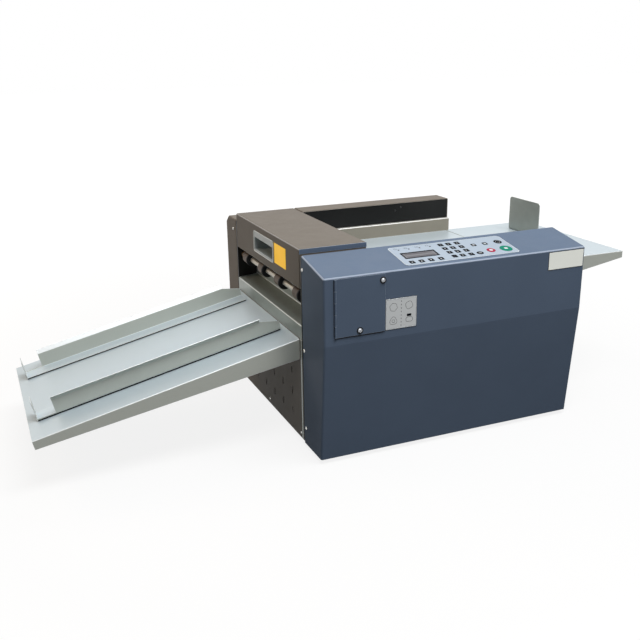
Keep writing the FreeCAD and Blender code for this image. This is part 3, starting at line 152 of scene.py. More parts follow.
# How far the specks and the slow change move the tone.
SPECK_RANGE, TONE_RANGE = (-0.25, 0.25), (0.1, 0.9)
# Shares of a group's scale or radius.
RUB_SCALE, BROAD_SCALE, NARROW_EDGE = 3.7, 0.12, 0.4


def make_coat_grain():
    """Fine orange peel of a sprayed or moulded skin, with slow changes of tone and gloss."""
    board, given, result = effect("coat grain", [
        ("Scale", "NodeSocketFloat", 900.0), ("Mottle", "NodeSocketFloat", 9.0)], [
        ("Height", "NodeSocketFloat"), ("Tone", "NodeSocketFloat"), ("Gloss", "NodeSocketFloat")])
    where = board.node("ShaderNodeTexCoord").outputs["Object"]
    peel = board.node("ShaderNodeTexNoise", {
        "Vector": where, "Scale": given.outputs["Scale"], "Detail": 2.0, "Roughness": 0.6})
    slow = board.node("ShaderNodeTexNoise", {
        "Vector": where, "Scale": given.outputs["Mottle"], "Detail": 3.0, "Roughness": 0.55})
    rub = board.node("ShaderNodeTexNoise", {
        "Vector": where, "Scale": board.sum("MULTIPLY", given.outputs["Mottle"], RUB_SCALE), "Detail": 4.0,
        "Roughness": 0.7, "Distortion": 0.6})
    speck = board.stretch(peel.outputs["Fac"], *NOISE_RANGE, *SPECK_RANGE)
    tone = board.sum("ADD", board.stretch(slow.outputs["Fac"], *NOISE_RANGE, *TONE_RANGE), speck)
    board.feed(result.inputs["Height"], peel.outputs["Fac"])
    board.feed(result.inputs["Tone"], tone)
    board.feed(result.inputs["Gloss"], board.stretch(rub.outputs["Fac"], *RUB_RANGE))
    return board.tree


def make_soft_edges():
    """The rounded light on an edge, and a mask of edges, broken by chips, where paint is worn and a highlight
    line is painted.
    """
    board, given, result = effect("soft edges", [
        ("Radius", "NodeSocketFloat", 0.0008), ("Spread", "NodeSocketFloat", 0.5),
        ("Chipping", "NodeSocketFloat", 0.5)], [
        ("Wear and highlight", "NodeSocketFloat"), ("Normal", "NodeSocketVector")])
    wide = board.node("ShaderNodeBevel", {"Radius": given.outputs["Radius"]}, samples=6)
    flat = board.node("ShaderNodeNewGeometry").outputs["Normal"]
    match = board.node("ShaderNodeVectorMath", operation="DOT_PRODUCT")
    board.feed(match.inputs[0], wide.outputs[0])
    board.feed(match.inputs[1], flat)
    edge = board.stretch(match.outputs["Value"], *EDGE_RANGE)
    where = board.node("ShaderNodeTexCoord").outputs["Object"]
    chips = board.node("ShaderNodeTexNoise", {
        "Vector": where, "Scale": 160.0, "Detail": 5.0, "Roughness": 0.7})
    broken = board.stretch(chips.outputs["Fac"], *CHIP_RANGE)
    whole = board.sum("SUBTRACT", 1.0, given.outputs["Chipping"])
    kept = board.sum("MULTIPLY_ADD", broken, given.outputs["Chipping"], whole)
    wear_and_highlight = board.sum("MULTIPLY", board.sum("MULTIPLY", edge, kept), given.outputs["Spread"])
    board.feed(result.inputs["Wear and highlight"], board.node("ShaderNodeClamp", {"Value": wear_and_highlight}).outputs[0])
    narrow = board.node("ShaderNodeBevel", {
        "Radius": board.sum("MULTIPLY", given.outputs["Radius"], NARROW_EDGE)}, samples=4)
    board.feed(result.inputs["Normal"], narrow.outputs[0])
    return board.tree


def make_settled_dust():
    """Paper dust that settles on faces that look up."""
    board, given, result = effect("settled dust", [("Amount", "NodeSocketFloat", 0.2)], [
        ("Mask", "NodeSocketFloat")])
    facing = board.node("ShaderNodeSeparateXYZ", {
        "Vector": board.node("ShaderNodeNewGeometry").outputs["Normal"]}).outputs["Z"]
    lying = board.stretch(facing, *LYING_RANGE)
    where = board.node("ShaderNodeTexCoord").outputs["Object"]
    drift = board.node("ShaderNodeTexNoise", {
        "Vector": where, "Scale": 22.0, "Detail": 6.0, "Roughness": 0.75})
    patch = board.stretch(drift.outputs["Fac"], *DRIFT_RANGE)
    board.feed(result.inputs["Mask"], board.sum(
        "MULTIPLY", board.sum("MULTIPLY", lying, patch), given.outputs["Amount"]))
    return board.tree


def make_lit_upper_faces():
    """A mask of the faces that look up, where a lighter, cooler colour is painted for the light that falls on
    them.
    """
    board, given, result = effect("lit upper faces", [
        ("From", "NodeSocketFloat", 0.55), ("To", "NodeSocketFloat", 0.95)], [("Mask", "NodeSocketFloat")])
    facing = board.node("ShaderNodeSeparateXYZ", {
        "Vector": board.node("ShaderNodeNewGeometry").outputs["Normal"]}).outputs["Z"]
    board.feed(result.inputs["Mask"], board.stretch(facing, given.outputs["From"], given.outputs["To"]))
    return board.tree


def make_rolled_lines():
    """Fine lines of rolled sheet or turned bar, long along one axis."""
    board, given, result = effect("rolled lines", [
        ("Stretch", "NodeSocketVector", (1.0, 1.0, 1.0)), ("Scale", "NodeSocketFloat", 700.0)], [
        ("Height", "NodeSocketFloat"), ("Tone", "NodeSocketFloat")])
    where = board.node("ShaderNodeTexCoord").outputs["Object"]
    drawn = board.node("ShaderNodeVectorMath", operation="MULTIPLY")
    board.feed(drawn.inputs[0], where)
    board.feed(drawn.inputs[1], given.outputs["Stretch"])
    fine = board.node("ShaderNodeTexNoise", {
        "Vector": drawn.outputs[0], "Scale": given.outputs["Scale"], "Detail": 3.0, "Roughness": 0.6})
    broad = board.node("ShaderNodeTexNoise", {
        "Vector": drawn.outputs[0], "Scale": board.sum("MULTIPLY", given.outputs["Scale"], BROAD_SCALE),
        "Detail": 4.0, "Roughness": 0.65})
    board.feed(result.inputs["Height"], fine.outputs["Fac"])
    board.feed(result.inputs["Tone"], board.stretch(
        board.sum("ADD", fine.outputs["Fac"], broad.outputs["Fac"]), *LINE_RANGE))
    return board.tree


def make_bend_light():
    """A mask of the narrow bends between upright and lying faces, where a lighter colour is painted as a
    highlight.
    """
    board, given, result = effect("bend light", [("Amount", "NodeSocketFloat", 0.5)], [
        ("Mask", "NodeSocketFloat")])
    facing = board.node("ShaderNodeSeparateXYZ", {
        "Vector": board.node("ShaderNodeNewGeometry").outputs["Normal"]}).outputs["Z"]
    upper = board.sum("MULTIPLY", board.stretch(facing, *BEND_START), board.stretch(facing, *BEND_END))
    board.feed(result.inputs["Mask"], board.sum("MULTIPLY", upper, given.outputs["Amount"]))
    return board.tree


COAT_GRAIN = make_coat_grain()
SOFT_EDGES = make_soft_edges()
SETTLED_DUST = make_settled_dust()
LIT_UPPER_FACES = make_lit_upper_faces()
BEND_LIGHT = make_bend_light()
ROLLED_LINES = make_rolled_lines()


DUST_COLOUR = shade(214, 212, 206)
DUST_ROUGHNESS = 0.5
LINE_CONTRAST, LINE_GLOSS = 0.5, 0.04
BUMP_DEPTH = 0.0004


def finish(name, colour, roughness, metallic=0.0, coat=0.0, coat_roughness=0.2, level=0.5, grain=900.0,
           relief=0.04, mottle=9.0, tone=0.10, wear_and_highlight_to=None, wear_and_highlight=0.5, chipping=0.5, dust=0.0, edge=0.0008,
           lines=None, gloss_spread=0.10, top=None, bend=0.0):
    """A material of this machine: grain or rolled lines, tone, edge wear with a painted edge highlight, a
    painted highlight on bends, a painted lit top, and dust over a base colour.
    """
    made = bpy.data.materials.new(name)
    made.use_nodes = True
    board = Board(made.node_tree)
    made.node_tree.nodes.clear()
    shader = board.node("ShaderNodeBsdfPrincipled", {
        "Metallic": metallic, "Coat Weight": coat, "Coat Roughness": coat_roughness,
        "Specular IOR Level": level})
    skin = board.node("ShaderNodeGroup", node_tree=COAT_GRAIN)
    skin.inputs["Scale"].default_value = grain
    skin.inputs["Mottle"].default_value = mottle
    dark = tuple(part * (1 - tone) for part in colour[:3]) + (1,)
    light = tuple(min(part * (1 + tone), 1) for part in colour[:3]) + (1,)
    paint = board.blend(skin.outputs["Tone"], dark, light)
    # Upper faces take their own lighter colour: painted light on the top, with the sides left in shade.
    if top is not None:
        upper = board.node("ShaderNodeGroup", node_tree=LIT_UPPER_FACES)
        paint = board.blend(upper.outputs["Mask"], paint, top)
    height = skin.outputs["Height"]
    half_spread = gloss_spread / 2
    rough = board.stretch(skin.outputs["Gloss"], 0.0, 1.0, roughness - half_spread, roughness + half_spread)
    if lines is not None:
        drawn = board.node("ShaderNodeGroup", node_tree=ROLLED_LINES)
        drawn.inputs["Stretch"].default_value = lines
        paint = board.blend(board.sum("MULTIPLY", drawn.outputs["Tone"], LINE_CONTRAST), paint, light)
        height = drawn.outputs["Height"]
        rough = board.sum("ADD", rough, board.stretch(
            drawn.outputs["Tone"], 0.0, 1.0, -LINE_GLOSS, LINE_GLOSS))
    edges = board.node("ShaderNodeGroup", node_tree=SOFT_EDGES)
    edges.inputs["Radius"].default_value = edge
    edges.inputs["Spread"].default_value = wear_and_highlight
    edges.inputs["Chipping"].default_value = chipping
    # Edges take the lighter colour as worn paint and as a painted highlight along the edge.
    if wear_and_highlight_to is not None:
        paint = board.blend(edges.outputs["Wear and highlight"], paint, wear_and_highlight_to)
    # Bends between upright and lying faces take the same lighter colour as a painted highlight.
    if bend:
        caught = board.node("ShaderNodeGroup", node_tree=BEND_LIGHT)
        caught.inputs["Amount"].default_value = bend
        paint = board.blend(caught.outputs["Mask"], paint, wear_and_highlight_to)
    if dust:
        settled = board.node("ShaderNodeGroup", node_tree=SETTLED_DUST)
        settled.inputs["Amount"].default_value = dust
        paint = board.blend(settled.outputs["Mask"], paint, DUST_COLOUR)
        rough = board.sum("ADD", rough, board.sum("MULTIPLY", settled.outputs["Mask"], DUST_ROUGHNESS))
    bump = board.node("ShaderNodeBump", {
        "Height": height, "Strength": relief, "Distance": BUMP_DEPTH, "Normal": edges.outputs["Normal"]})
    board.feed(shader.inputs["Base Color"], paint)
    board.feed(shader.inputs["Roughness"], rough)
    board.feed(shader.inputs["Normal"], bump.outputs[0])
    end = board.node("ShaderNodeOutputMaterial")
    board.tree.links.new(shader.outputs[0], end.inputs["Surface"])
    return made


# Stretch of the rolled lines, long along one axis.
ALONG_X, ALONG_Y = (0.02, 1.0, 1.0), (1.0, 0.02, 1.0)
# Edge colours here are lighter for worn paint and as a painted highlight; the bend amounts paint a highlight
# on bends, and the top colours paint the lit upper faces lighter than the shaded sides.
SLATE_PAINT = finish("slate paint", shade(105, 121, 143), 0.40, level=0.01, coat=0.03, coat_roughness=0.16,
                     wear_and_highlight_to=shade(188, 200, 218), wear_and_highlight=0.8, chipping=0.3, tone=0.04, relief=0.10, dust=0.03,
                     edge=0.0012, bend=0.9)
TAUPE_PAINT = finish("taupe paint", shade(118, 110, 100), 0.40, level=0.02, coat=0.06, coat_roughness=0.16,
                     wear_and_highlight_to=shade(200, 196, 192), wear_and_highlight=0.8, chipping=0.3, tone=0.04, relief=0.10, dust=0.04,
                     edge=0.0012)
LID_PAINT = finish("taupe lid paint", shade(116, 109, 100), 0.40, level=0.02, coat=0.06, coat_roughness=0.16,
                   wear_and_highlight_to=shade(206, 206, 206), wear_and_highlight=0.8, chipping=0.3, tone=0.04, relief=0.10, dust=0.04,
                   edge=0.0012, bend=0.6)
BLACK_PAINT = finish("black paint", shade(26, 26, 25), 0.36, level=0.15, coat=0.15, coat_roughness=0.2,
                     wear_and_highlight_to=shade(84, 84, 82), wear_and_highlight=0.5, relief=0.10, dust=0.03, tone=0.2, mottle=5.0)
# Pale paint: its base colour is the tone of the shaded sides, and its top colour is a painted lit tone.
PALE_PAINT = finish("pale grey paint", shade(192, 196, 188), 0.38, metallic=0.22, level=0.15, coat=0.15,
                    coat_roughness=0.14, wear_and_highlight_to=shade(240, 244, 246), wear_and_highlight=0.9, chipping=0.2, tone=0.03,
                    relief=0.06, dust=0.05, edge=0.0013, top=shade(198, 211, 218), bend=0.8)
ZINC_SHEET = finish("zinc sheet", shade(156, 163, 158), 0.38, metallic=0.45, lines=ALONG_Y, tone=0.08,
                    relief=0.05, level=0.3, wear_and_highlight_to=shade(224, 228, 224), wear_and_highlight=0.8, chipping=0.3,
                    mottle=40.0, edge=0.0012, bend=0.7)
# The guide's near-white top colour and its edge and bend colour are painted highlight on a darker base.
GUIDE_SHEET = finish("guide sheet", shade(154, 147, 133), 0.40, metallic=0.3, lines=ALONG_X, tone=0.08,
                     level=0.3, relief=0.05, wear_and_highlight_to=shade(250, 250, 246), wear_and_highlight=1.0, chipping=0.1,
                     edge=0.0016, bend=1.0, top=shade(238, 238, 232))
FRAME_STEEL = finish("plated frame", shade(128, 132, 132), 0.34, metallic=0.85, lines=ALONG_X, tone=0.10,
                     relief=0.05)
BRIGHT_STEEL = finish("ground steel", shade(196, 198, 198), 0.22, metallic=1.0, lines=ALONG_Y, tone=0.08,
                      relief=0.04, edge=0.0004)
SATIN_SHAFT = finish("satin shaft", shade(196, 192, 182), 0.45, metallic=0.5, lines=ALONG_Y, tone=0.08,
                     relief=0.05, edge=0.0004)
SCREW_STEEL = finish("plated screws", shade(212, 212, 208), 0.25, metallic=0.9, tone=0.12, relief=0.05,
                     grain=2200.0, edge=0.0003)
THUMB_STEEL = finish("nickel thumb screws", shade(190, 193, 197), 0.20, metallic=0.55, tone=0.08, relief=0.03,
                     grain=2200.0, edge=0.0006)
BLACK_SCREW = finish("blackened screws", shade(34, 34, 35), 0.30, metallic=0.3, tone=0.12, relief=0.05,
                     grain=2200.0, wear_and_highlight_to=shade(150, 150, 150), wear_and_highlight=0.5, edge=0.0004)
BRONZE = finish("sintered bronze", shade(150, 112, 70), 0.40, metallic=0.9, tone=0.15, relief=0.15,
                grain=3000.0)
ALLOY = finish("cast alloy", shade(150, 152, 154), 0.45, metallic=0.8, tone=0.12, relief=0.20, grain=1500.0)
RUBBER = finish("black rubber", shade(24, 24, 25), 0.60, tone=0.20, relief=0.30, grain=1400.0, dust=0.04,
                level=0.2)
FEED_RUBBER = finish("grey feed rubber", shade(92, 90, 86), 0.66, tone=0.12, relief=0.35, grain=1600.0,
                     level=0.3)
HUB_PLASTIC = finish("brown hub plastic", shade(98, 84, 72), 0.46, tone=0.12, relief=0.12, grain=1800.0,
                     level=0.2, wear_and_highlight_to=shade(150, 134, 118), wear_and_highlight=0.4, edge=0.0005)
BLACK_PLASTIC = finish("black moulding", shade(22, 23, 25), 0.42, level=0.15, tone=0.14, relief=0.18,
                       grain=2400.0, wear_and_highlight_to=shade(80, 80, 80), wear_and_highlight=0.3, edge=0.0005)
CUP_PLASTIC = finish("pale moulding", shade(168, 176, 176), 0.34, level=0.2, tone=0.05, relief=0.08,
                     grain=2000.0, coat=0.3, coat_roughness=0.12, wear_and_highlight_to=shade(228, 232, 230), wear_and_highlight=0.5,
                     edge=0.0010)
RIM_PLASTIC = finish("rim moulding", shade(206, 210, 206), 0.30, level=0.3, tone=0.03, relief=0.05,
                     grain=2000.0, coat=0.4, coat_roughness=0.10, edge=0.0006)
KEYPAD_FILM = finish("keypad film", shade(170, 184, 199), 0.40, level=0.10, tone=0.03, relief=0.05,
                     grain=2600.0, wear_and_highlight_to=shade(222, 230, 240), wear_and_highlight=0.5, edge=0.0004)
KEY_INK = finish("black key ink", shade(14, 17, 24), 0.50, level=0.02, tone=0.12, relief=0.04, grain=2600.0,
                 edge=0.0002)
PALE_INK = finish("white key ink", shade(222, 228, 232), 0.50, level=0.10, tone=0.03, relief=0.03,
                  grain=2600.0, edge=0.0002)
DISPLAY_GLASS = finish("display window", shade(98, 98, 104), 0.20, level=0.10, coat=0.12, coat_roughness=0.05,
                       tone=0.06, relief=0.01, mottle=30.0, edge=0.0003)
DISPLAY_INK = finish("display cells", shade(88, 86, 92), 0.40, level=0.05, tone=0.06, relief=0.01,
                     mottle=30.0, edge=0.0002)
GREEN_KEY = finish("green key", shade(0, 130, 106), 0.36, level=0.03, tone=0.05, relief=0.05,
                   grain=2600.0, wear_and_highlight_to=shade(90, 180, 150), wear_and_highlight=0.3, edge=0.0005)
RED_KEY = finish("red key", shade(168, 30, 66), 0.36, level=0.03, tone=0.05, relief=0.05, grain=2600.0,
                 wear_and_highlight_to=shade(216, 120, 136), wear_and_highlight=0.3, edge=0.0005)
BOARD_RESIN = finish("board resin", shade(28, 92, 58), 0.35, coat=0.3, tone=0.12, relief=0.08, grain=1200.0,
                     edge=0.0003)
AMBER_FILM = finish("amber film", shade(255, 196, 0), 0.40, metallic=0.75, level=0.05, tone=0.03, relief=0.03,
                    grain=2600.0, edge=0.0003)
NAME_PLATE = finish("satin name plate", shade(224, 226, 219), 0.36, metallic=0.65, level=0.2, lines=ALONG_X,
                    tone=0.02, relief=0.03, edge=0.0004)
SIGN_PLATE = finish("satin sign plate", shade(192, 195, 196), 0.38, metallic=0.5, level=0.2, lines=ALONG_X,
                    tone=0.03, relief=0.03, edge=0.0004)
MAGNET_STRIP = finish("magnet strip", shade(20, 22, 24), 0.58, level=0.2, tone=0.15, relief=0.2, grain=1800.0,
                      edge=0.0005)
BELT_RUBBER = finish("belt rubber", shade(36, 36, 37), 0.55, tone=0.15, relief=0.25, grain=1600.0,
                     edge=0.0004)

NODE_FINISH = {
    SLATE_PAINT: ["front_cover", "access_door"],
    TAUPE_PAINT: ["beam_cover", "rear_cover", "left_panel", "right_panel"],
    LID_PAINT: ["top_cover"],
    # The side frames take black paint in place of plated steel, which paints shade on the inside seen through
    # the exit opening.
    BLACK_PAINT: ["beam_face", "hinge_bridge", "base_plate", "front_side_frame", "rear_side_frame"],
    PALE_PAINT: ["infeed_table", "extension_table", "delivery_tray", "rear_tray_guide", "front_tray_guide"],
    ZINC_SHEET: ["exit_chute", "back_stop", "power_supply", "tray_brackets"],
    GUIDE_SHEET: ["side_guide"],
    FRAME_STEEL: ["tool_bearing_plate"],
    SATIN_SHAFT: ["exit_shaft"],
    BRIGHT_STEEL: ["tie_bars", "pickup_shaft", "lower_tool_shaft", "upper_tool_shaft",
                   "crease_wheels", "anvil_wheels"],
    ALLOY: ["exit_pulley", "feed_gear_pulley", "tool_gear_pulley", "motor_pulley", "pickup_motor",
            "main_motor"],
    BRONZE: ["shaft_bushes"],
    RUBBER: ["rubber_feet", "exit_tyres", "pinch_roller"],
    FEED_RUBBER: ["pickup_wheels", "lower_feed_roller", "upper_feed_roller"],
    HUB_PLASTIC: ["exit_hubs"],
    BLACK_PLASTIC: ["back_stop_knob", "tool_shaft_knob", "power_inlet", "power_switch"],
    THUMB_STEEL: ["upper_thumb_screw", "lower_thumb_screw"],
    CUP_PLASTIC: ["grip_cup"],
    KEYPAD_FILM: ["keypad_panel"],
    DISPLAY_GLASS: ["display_window"],
    GREEN_KEY: ["start_key"],
    RED_KEY: ["stop_key"],
    BOARD_RESIN: ["control_board"],
    MAGNET_STRIP: ["rear_guide_strip", "front_guide_strip"],
    BELT_RUBBER: ["drive_belt"],
}
for material, nodes in NODE_FINISH.items():
    for name in nodes:
        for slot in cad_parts[name].material_slots:
            slot.material = material


# ---------------------------------------------------------------- mesh helpers
SHARPEST = 0.02
WELD = 0.0005


def rounded(x0, x1, y0, y1, corner, steps=6):
    """Outline of a rounded rectangle as a function of how far it is drawn in."""
    def outline(inset):
        points = []
        radius = max(corner - inset, SHARPEST)
        reach = inset + radius
        for cx, cy, start in ((x1 - reach, y0 + reach, -90), (x1 - reach, y1 - reach, 0),
                              (x0 + reach, y1 - reach, 90), (x0 + reach, y0 + reach, 180)):
            for step in range(steps + 1):
                angle = math.radians(start + 90 * step / steps)
                points.append((cx + radius * math.cos(angle), cy + radius * math.sin(angle)))
        return points
    return outline


def around(x, y, half_x, half_y, corner, steps=6):
    """Outline of a rounded rectangle about its middle."""
    return rounded(x - half_x, x + half_x, y - half_y, y + half_y, corner, steps)


def disc(x, y, radius, steps=32, squash=1.0):
    """Outline of a round or oval shape."""
    def outline(inset):
        return [(x + (radius - inset) * math.cos(2 * math.pi * n / steps),
                 y + (radius - inset) * squash * math.sin(2 * math.pi * n / steps)) for n in range(steps)]
    return outline


def lobed(x, y, radius, lobes, depth, steps=48):
    """Outline of a round shape with soft lobes."""
    def outline(inset):
        points = []
        for n in range(steps):
            angle = 2 * math.pi * n / steps
            reach = radius * (1 + depth * math.cos(lobes * angle + math.pi / 2)) - inset
            points.append((x + reach * math.cos(angle), y + reach * math.sin(angle)))
        return points
    return outline


def add_slab(bm, outline, low, high, bevel=0.0):
    """A closed plate between two heights, with its upper edge bevelled."""
    levels = [(low, 0.0), (high - bevel, 0.0)]
    if bevel:
        levels.append((high, bevel))
    rings = [[bm.verts.new((*point, height)) for point in outline(inset)] for height, inset in levels]
    count = len(rings[0])
    for lower, upper in zip(rings, rings[1:]):
        for n in range(count):
            bm.faces.new((lower[n], lower[(n + 1) % count], upper[(n + 1) % count], upper[n]))
    bm.faces.new(list(reversed(rings[0])))
    bm.faces.new(rings[-1])


def add_ring(bm, outline, width, low, high, bevel=0.0):
    """A closed frame that follows an outline, as wide as it says."""
    levels = [(low, 0.0), (high - bevel, 0.0), (high, bevel),
              (high, width - bevel), (high - bevel, width), (low, width)]
    rings = [[bm.verts.new((*point, height)) for point in outline(inset)] for height, inset in levels]
    count = len(rings[0])
    for lower, upper in zip(rings, rings[1:] + rings[:1]):
        for n in range(count):
            bm.faces.new((lower[n], lower[(n + 1) % count], upper[(n + 1) % count], upper[n]))


def mesh_of(name, bm, where):
    """The mesh of a drawing, moved from its plane to metres of the shared frame."""
    mesh = bpy.data.meshes.new(name)
    bmesh.ops.remove_doubles(bm, verts=bm.verts, dist=WELD)
    bmesh.ops.recalc_face_normals(bm, faces=bm.faces)
    bm.to_mesh(mesh)
    bm.free()
    mesh.transform(where)
    return mesh


def put(name, content):
    """An object of the scene that holds a mesh, a curve or a light."""
    made = bpy.data.objects.new(name, content)
    bpy.context.scene.collection.objects.link(made)
    return made


def piece(name, bm, where, material, body):
    """Turn a mesh, drawn in millimetres on a plane, into a finished piece on a body."""
    mesh = mesh_of(name, bm, where)
    mesh.materials.append(material)
    made = put(name, mesh)
    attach(made, body)


# ---------------------------------------------------------------- drawing planes of the body
SLOPE_RISE, SLOPE_RUN, SLOPE_FOOT = 20.5, 109.0, 380
SLOPE = math.atan2(SLOPE_RISE, SLOPE_RUN)
slope_up = Vector((0, math.cos(SLOPE), math.sin(SLOPE)))
keypad_plane = plane(place(0, 0, SLOPE_FOOT), X, slope_up)
front_plane = plane(place(0, 0, 0), X, Z)
exit_plane = plane(place(0, 0, 0), -Y, Z)
back_plane = plane(place(0, 0, 0), -X, Z)
TILT = math.radians(12.76)
TRAY_SIDE, TRAY_HEIGHT = 123, 228
along_tray = Vector((-math.cos(TILT), 0, -math.sin(TILT)))
tray_plane = plane(place(0, TRAY_SIDE, TRAY_HEIGHT), along_tray, -Y)


# ---------------------------------------------------------------- repeats
def make_set_out():
    """Geometry nodes that set a master shape at each point, each turned by its own angle about its axis."""
    tree = bpy.data.node_groups.new("set out", "GeometryNodeTree")
    inputs = (("Geometry", "NodeSocketGeometry"), ("Master", "NodeSocketObject"),
              ("Facing", "NodeSocketVector"), ("Spin", "NodeSocketFloat"), ("Size", "NodeSocketFloat"),
              ("Seed", "NodeSocketInt"), ("Material", "NodeSocketMaterial"))
    for label, kind in inputs:
        tree.interface.new_socket(label, in_out="INPUT", socket_type=kind)
    tree.interface.new_socket("Geometry", in_out="OUTPUT", socket_type="NodeSocketGeometry")
    board = Board(tree)
    given, result = board.node("NodeGroupInput"), board.node("NodeGroupOutput")
    shape = board.node("GeometryNodeObjectInfo", {"Object": given.outputs["Master"]})
    facing = board.node("FunctionNodeEulerToRotation", {"Euler": given.outputs["Facing"]})
    points = board.node("GeometryNodeMeshToPoints", {"Mesh": given.outputs["Geometry"]})
    copies = board.node("GeometryNodeInstanceOnPoints", {
        "Points": points.outputs[0], "Instance": shape.outputs["Geometry"], "Rotation": facing.outputs[0],
        "Scale": given.outputs["Size"]})
    angle = board.node("FunctionNodeRandomValue", {"Seed": given.outputs["Seed"]}, data_type="FLOAT")
    board.feed(angle.inputs[2], board.sum("MULTIPLY", given.outputs["Spin"], -1.0))
    board.feed(angle.inputs[3], given.outputs["Spin"])
    spin = board.node("ShaderNodeCombineXYZ", {"Z": angle.outputs[1]})
    turned = board.node("GeometryNodeRotateInstances", {"Instances": copies.outputs[0]})
    board.feed(turned.inputs["Rotation"], board.node("FunctionNodeEulerToRotation", {
        "Euler": spin.outputs[0]}).outputs[0])
    real = board.node("GeometryNodeRealizeInstances", {"Geometry": turned.outputs[0]})
    dressed = board.node("GeometryNodeSetMaterial", {
        "Geometry": real.outputs[0], "Material": given.outputs["Material"]})
    board.feed(result.inputs["Geometry"], dressed.outputs[0])
    return tree


SET_OUT = make_set_out()


def set_out(name, points, facing, shape, material, body, seed=3, spin=math.pi, size=1.0):
    """One mesh of copies of a master shape at points of the shared frame."""
    start = bpy.data.meshes.new(name + ".points")
    start.from_pydata([tuple(point) for point in points], [], [])
    holder = put(name + ".points", start)
    repeat = holder.modifiers.new("set out", "NODES")
    repeat.node_group = SET_OUT
    values = {"Master": shape, "Facing": facing, "Spin": spin, "Size": size, "Seed": seed,
              "Material": material}
    for item in SET_OUT.interface.items_tree:
        if item.in_out == "INPUT" and item.name in values:
            repeat[item.identifier] = values[item.name]
    bpy.context.view_layer.update()
    shown = holder.evaluated_get(bpy.context.evaluated_depsgraph_get())
    mesh = bpy.data.meshes.new_from_object(shown)
    mesh.name = name
    made = put(name, mesh)
    bpy.data.objects.remove(holder)
    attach(made, body)


masters = []


def master(name, bm):
    """A shape in metres that set_out copies; it is taken away at the end."""
    made = put(name, mesh_of(name, bm, Matrix.Scale(0.001, 4)))
    made.hide_render = True
    masters.append(made)
    return made


# Shares of a screw head: reach and rise of its dome, then its cross recess.
DOME = ((1.0, 0.0), (1.0, 0.35), (0.93, 0.62), (0.78, 0.85), (0.60, 1.0))
CROSS_ARM, CROSS_HALF, CROSS_TAPER, CROSS_FLOOR = 0.46, 0.11, 0.7, 0.35


def cross_screw(radius, height, steps=24):
    """Domed head with a cross recess, seated on Z = 0, in millimetres."""
    bm = bmesh.new()
    turns = [2 * math.pi * n / steps for n in range(steps)]
    rings = [[bm.verts.new((radius * reach * math.cos(turn), radius * reach * math.sin(turn), height * rise))
              for turn in turns] for reach, rise in DOME]
    for lower, upper in zip(rings, rings[1:]):
        for n in range(steps):
            bm.faces.new((lower[n], lower[(n + 1) % steps], upper[(n + 1) % steps], upper[n]))
    bm.faces.new(list(reversed(rings[0])))
    arm, half = radius * CROSS_ARM, radius * CROSS_HALF
    cross = [(arm, -half), (arm, half), (half, half), (half, arm), (-half, arm), (-half, half), (-arm, half),
             (-arm, -half), (-half, -half), (-half, -arm), (half, -arm), (half, -half)]
    corners = len(cross)
    brim = [bm.verts.new((x, y, height)) for x, y in cross]
    sunk = [bm.verts.new((x * CROSS_TAPER, y * CROSS_TAPER, height * CROSS_FLOOR)) for x, y in cross]
    inner_edges = [bm.edges.new((brim[n], brim[(n + 1) % corners])) for n in range(corners)]
    outer_edges = [bm.edges.get((rings[-1][n], rings[-1][(n + 1) % steps])) for n in range(steps)]
    bmesh.ops.triangle_fill(bm, edges=inner_edges + outer_edges, use_beauty=True)
    for n in range(corners):
        bm.faces.new((brim[n], brim[(n + 1) % corners], sunk[(n + 1) % corners], sunk[n]))
    bm.faces.new(sunk)
    return bm


# ---------------------------------------------------------------- screws
FACE_EXIT = Vector((0, math.radians(-90), 0))
FACE_INFEED = Vector((0, math.radians(90), 0))
FACE_FRONT = Vector((math.radians(90), 0, 0))
FACE_BACK = Vector((math.radians(-90), 0, 0))
FACE_TRAY = Vector((0, -TILT, 0))
HOUSING_END, REAR_HOUSING_END, REAR_FACE = 580, 532, 594
PANEL_FACE, BEAM_FACE_AT = 0.5, 459
HOOD_SCREWS = ((101, 373), (98, 211), (95, 47))
REAR_END_SCREW, REAR_END_FOOT_SCREW = (537, 369), (545, 60)
PANEL_SCREWS, PANEL_SCREW_HEIGHT = (123.7, 313, 502), 25
GUIDE_SCREWS, TAB_TOP = (489, 20.5), 1.7
REAR_GUIDE_TAB, FRONT_GUIDE_TAB = -316.5, -90.5
BEAM_SCREWS = ((400.4, 397.9), (385.2, 390.9))
# Radius and height of a screw head.
SCREW_HEAD, SMALL_HEAD = (3.4, 2.0), (2.6, 1.6)
screw = master("screw", cross_screw(*SCREW_HEAD))
small_screw = master("small_screw", cross_screw(*SMALL_HEAD))

set_out("exit_end_screws", [place(0, y, z) for y, z in (*HOOD_SCREWS, REAR_END_SCREW)],
        FACE_EXIT, screw, SCREW_STEEL, "machine")
set_out("infeed_end_screws", [place(HOUSING_END, y, z) for y, z in HOOD_SCREWS]
        + [place(REAR_HOUSING_END, y, z) for y, z in (REAR_END_SCREW, REAR_END_FOOT_SCREW)],
        FACE_INFEED, screw, SCREW_STEEL, "machine", seed=5)
set_out("exit_panel_screws", [place(PANEL_FACE, y, PANEL_SCREW_HEIGHT) for y in PANEL_SCREWS],
        FACE_EXIT, small_screw, SCREW_STEEL, "machine", seed=7)
for body, tab, seed in (("rear_guide", REAR_GUIDE_TAB, 9), ("front_guide", FRONT_GUIDE_TAB, 11)):
    set_out(body + "_screws", [tray_plane @ Vector((along, tab, TAB_TOP)) for along in GUIDE_SCREWS],
            FACE_TRAY, small_screw, SCREW_STEEL, body, seed=seed)
set_out("beam_screws", [place(x, BEAM_FACE_AT, z) for x, z in BEAM_SCREWS],
        FACE_FRONT, small_screw, BLACK_SCREW, "machine", seed=13)


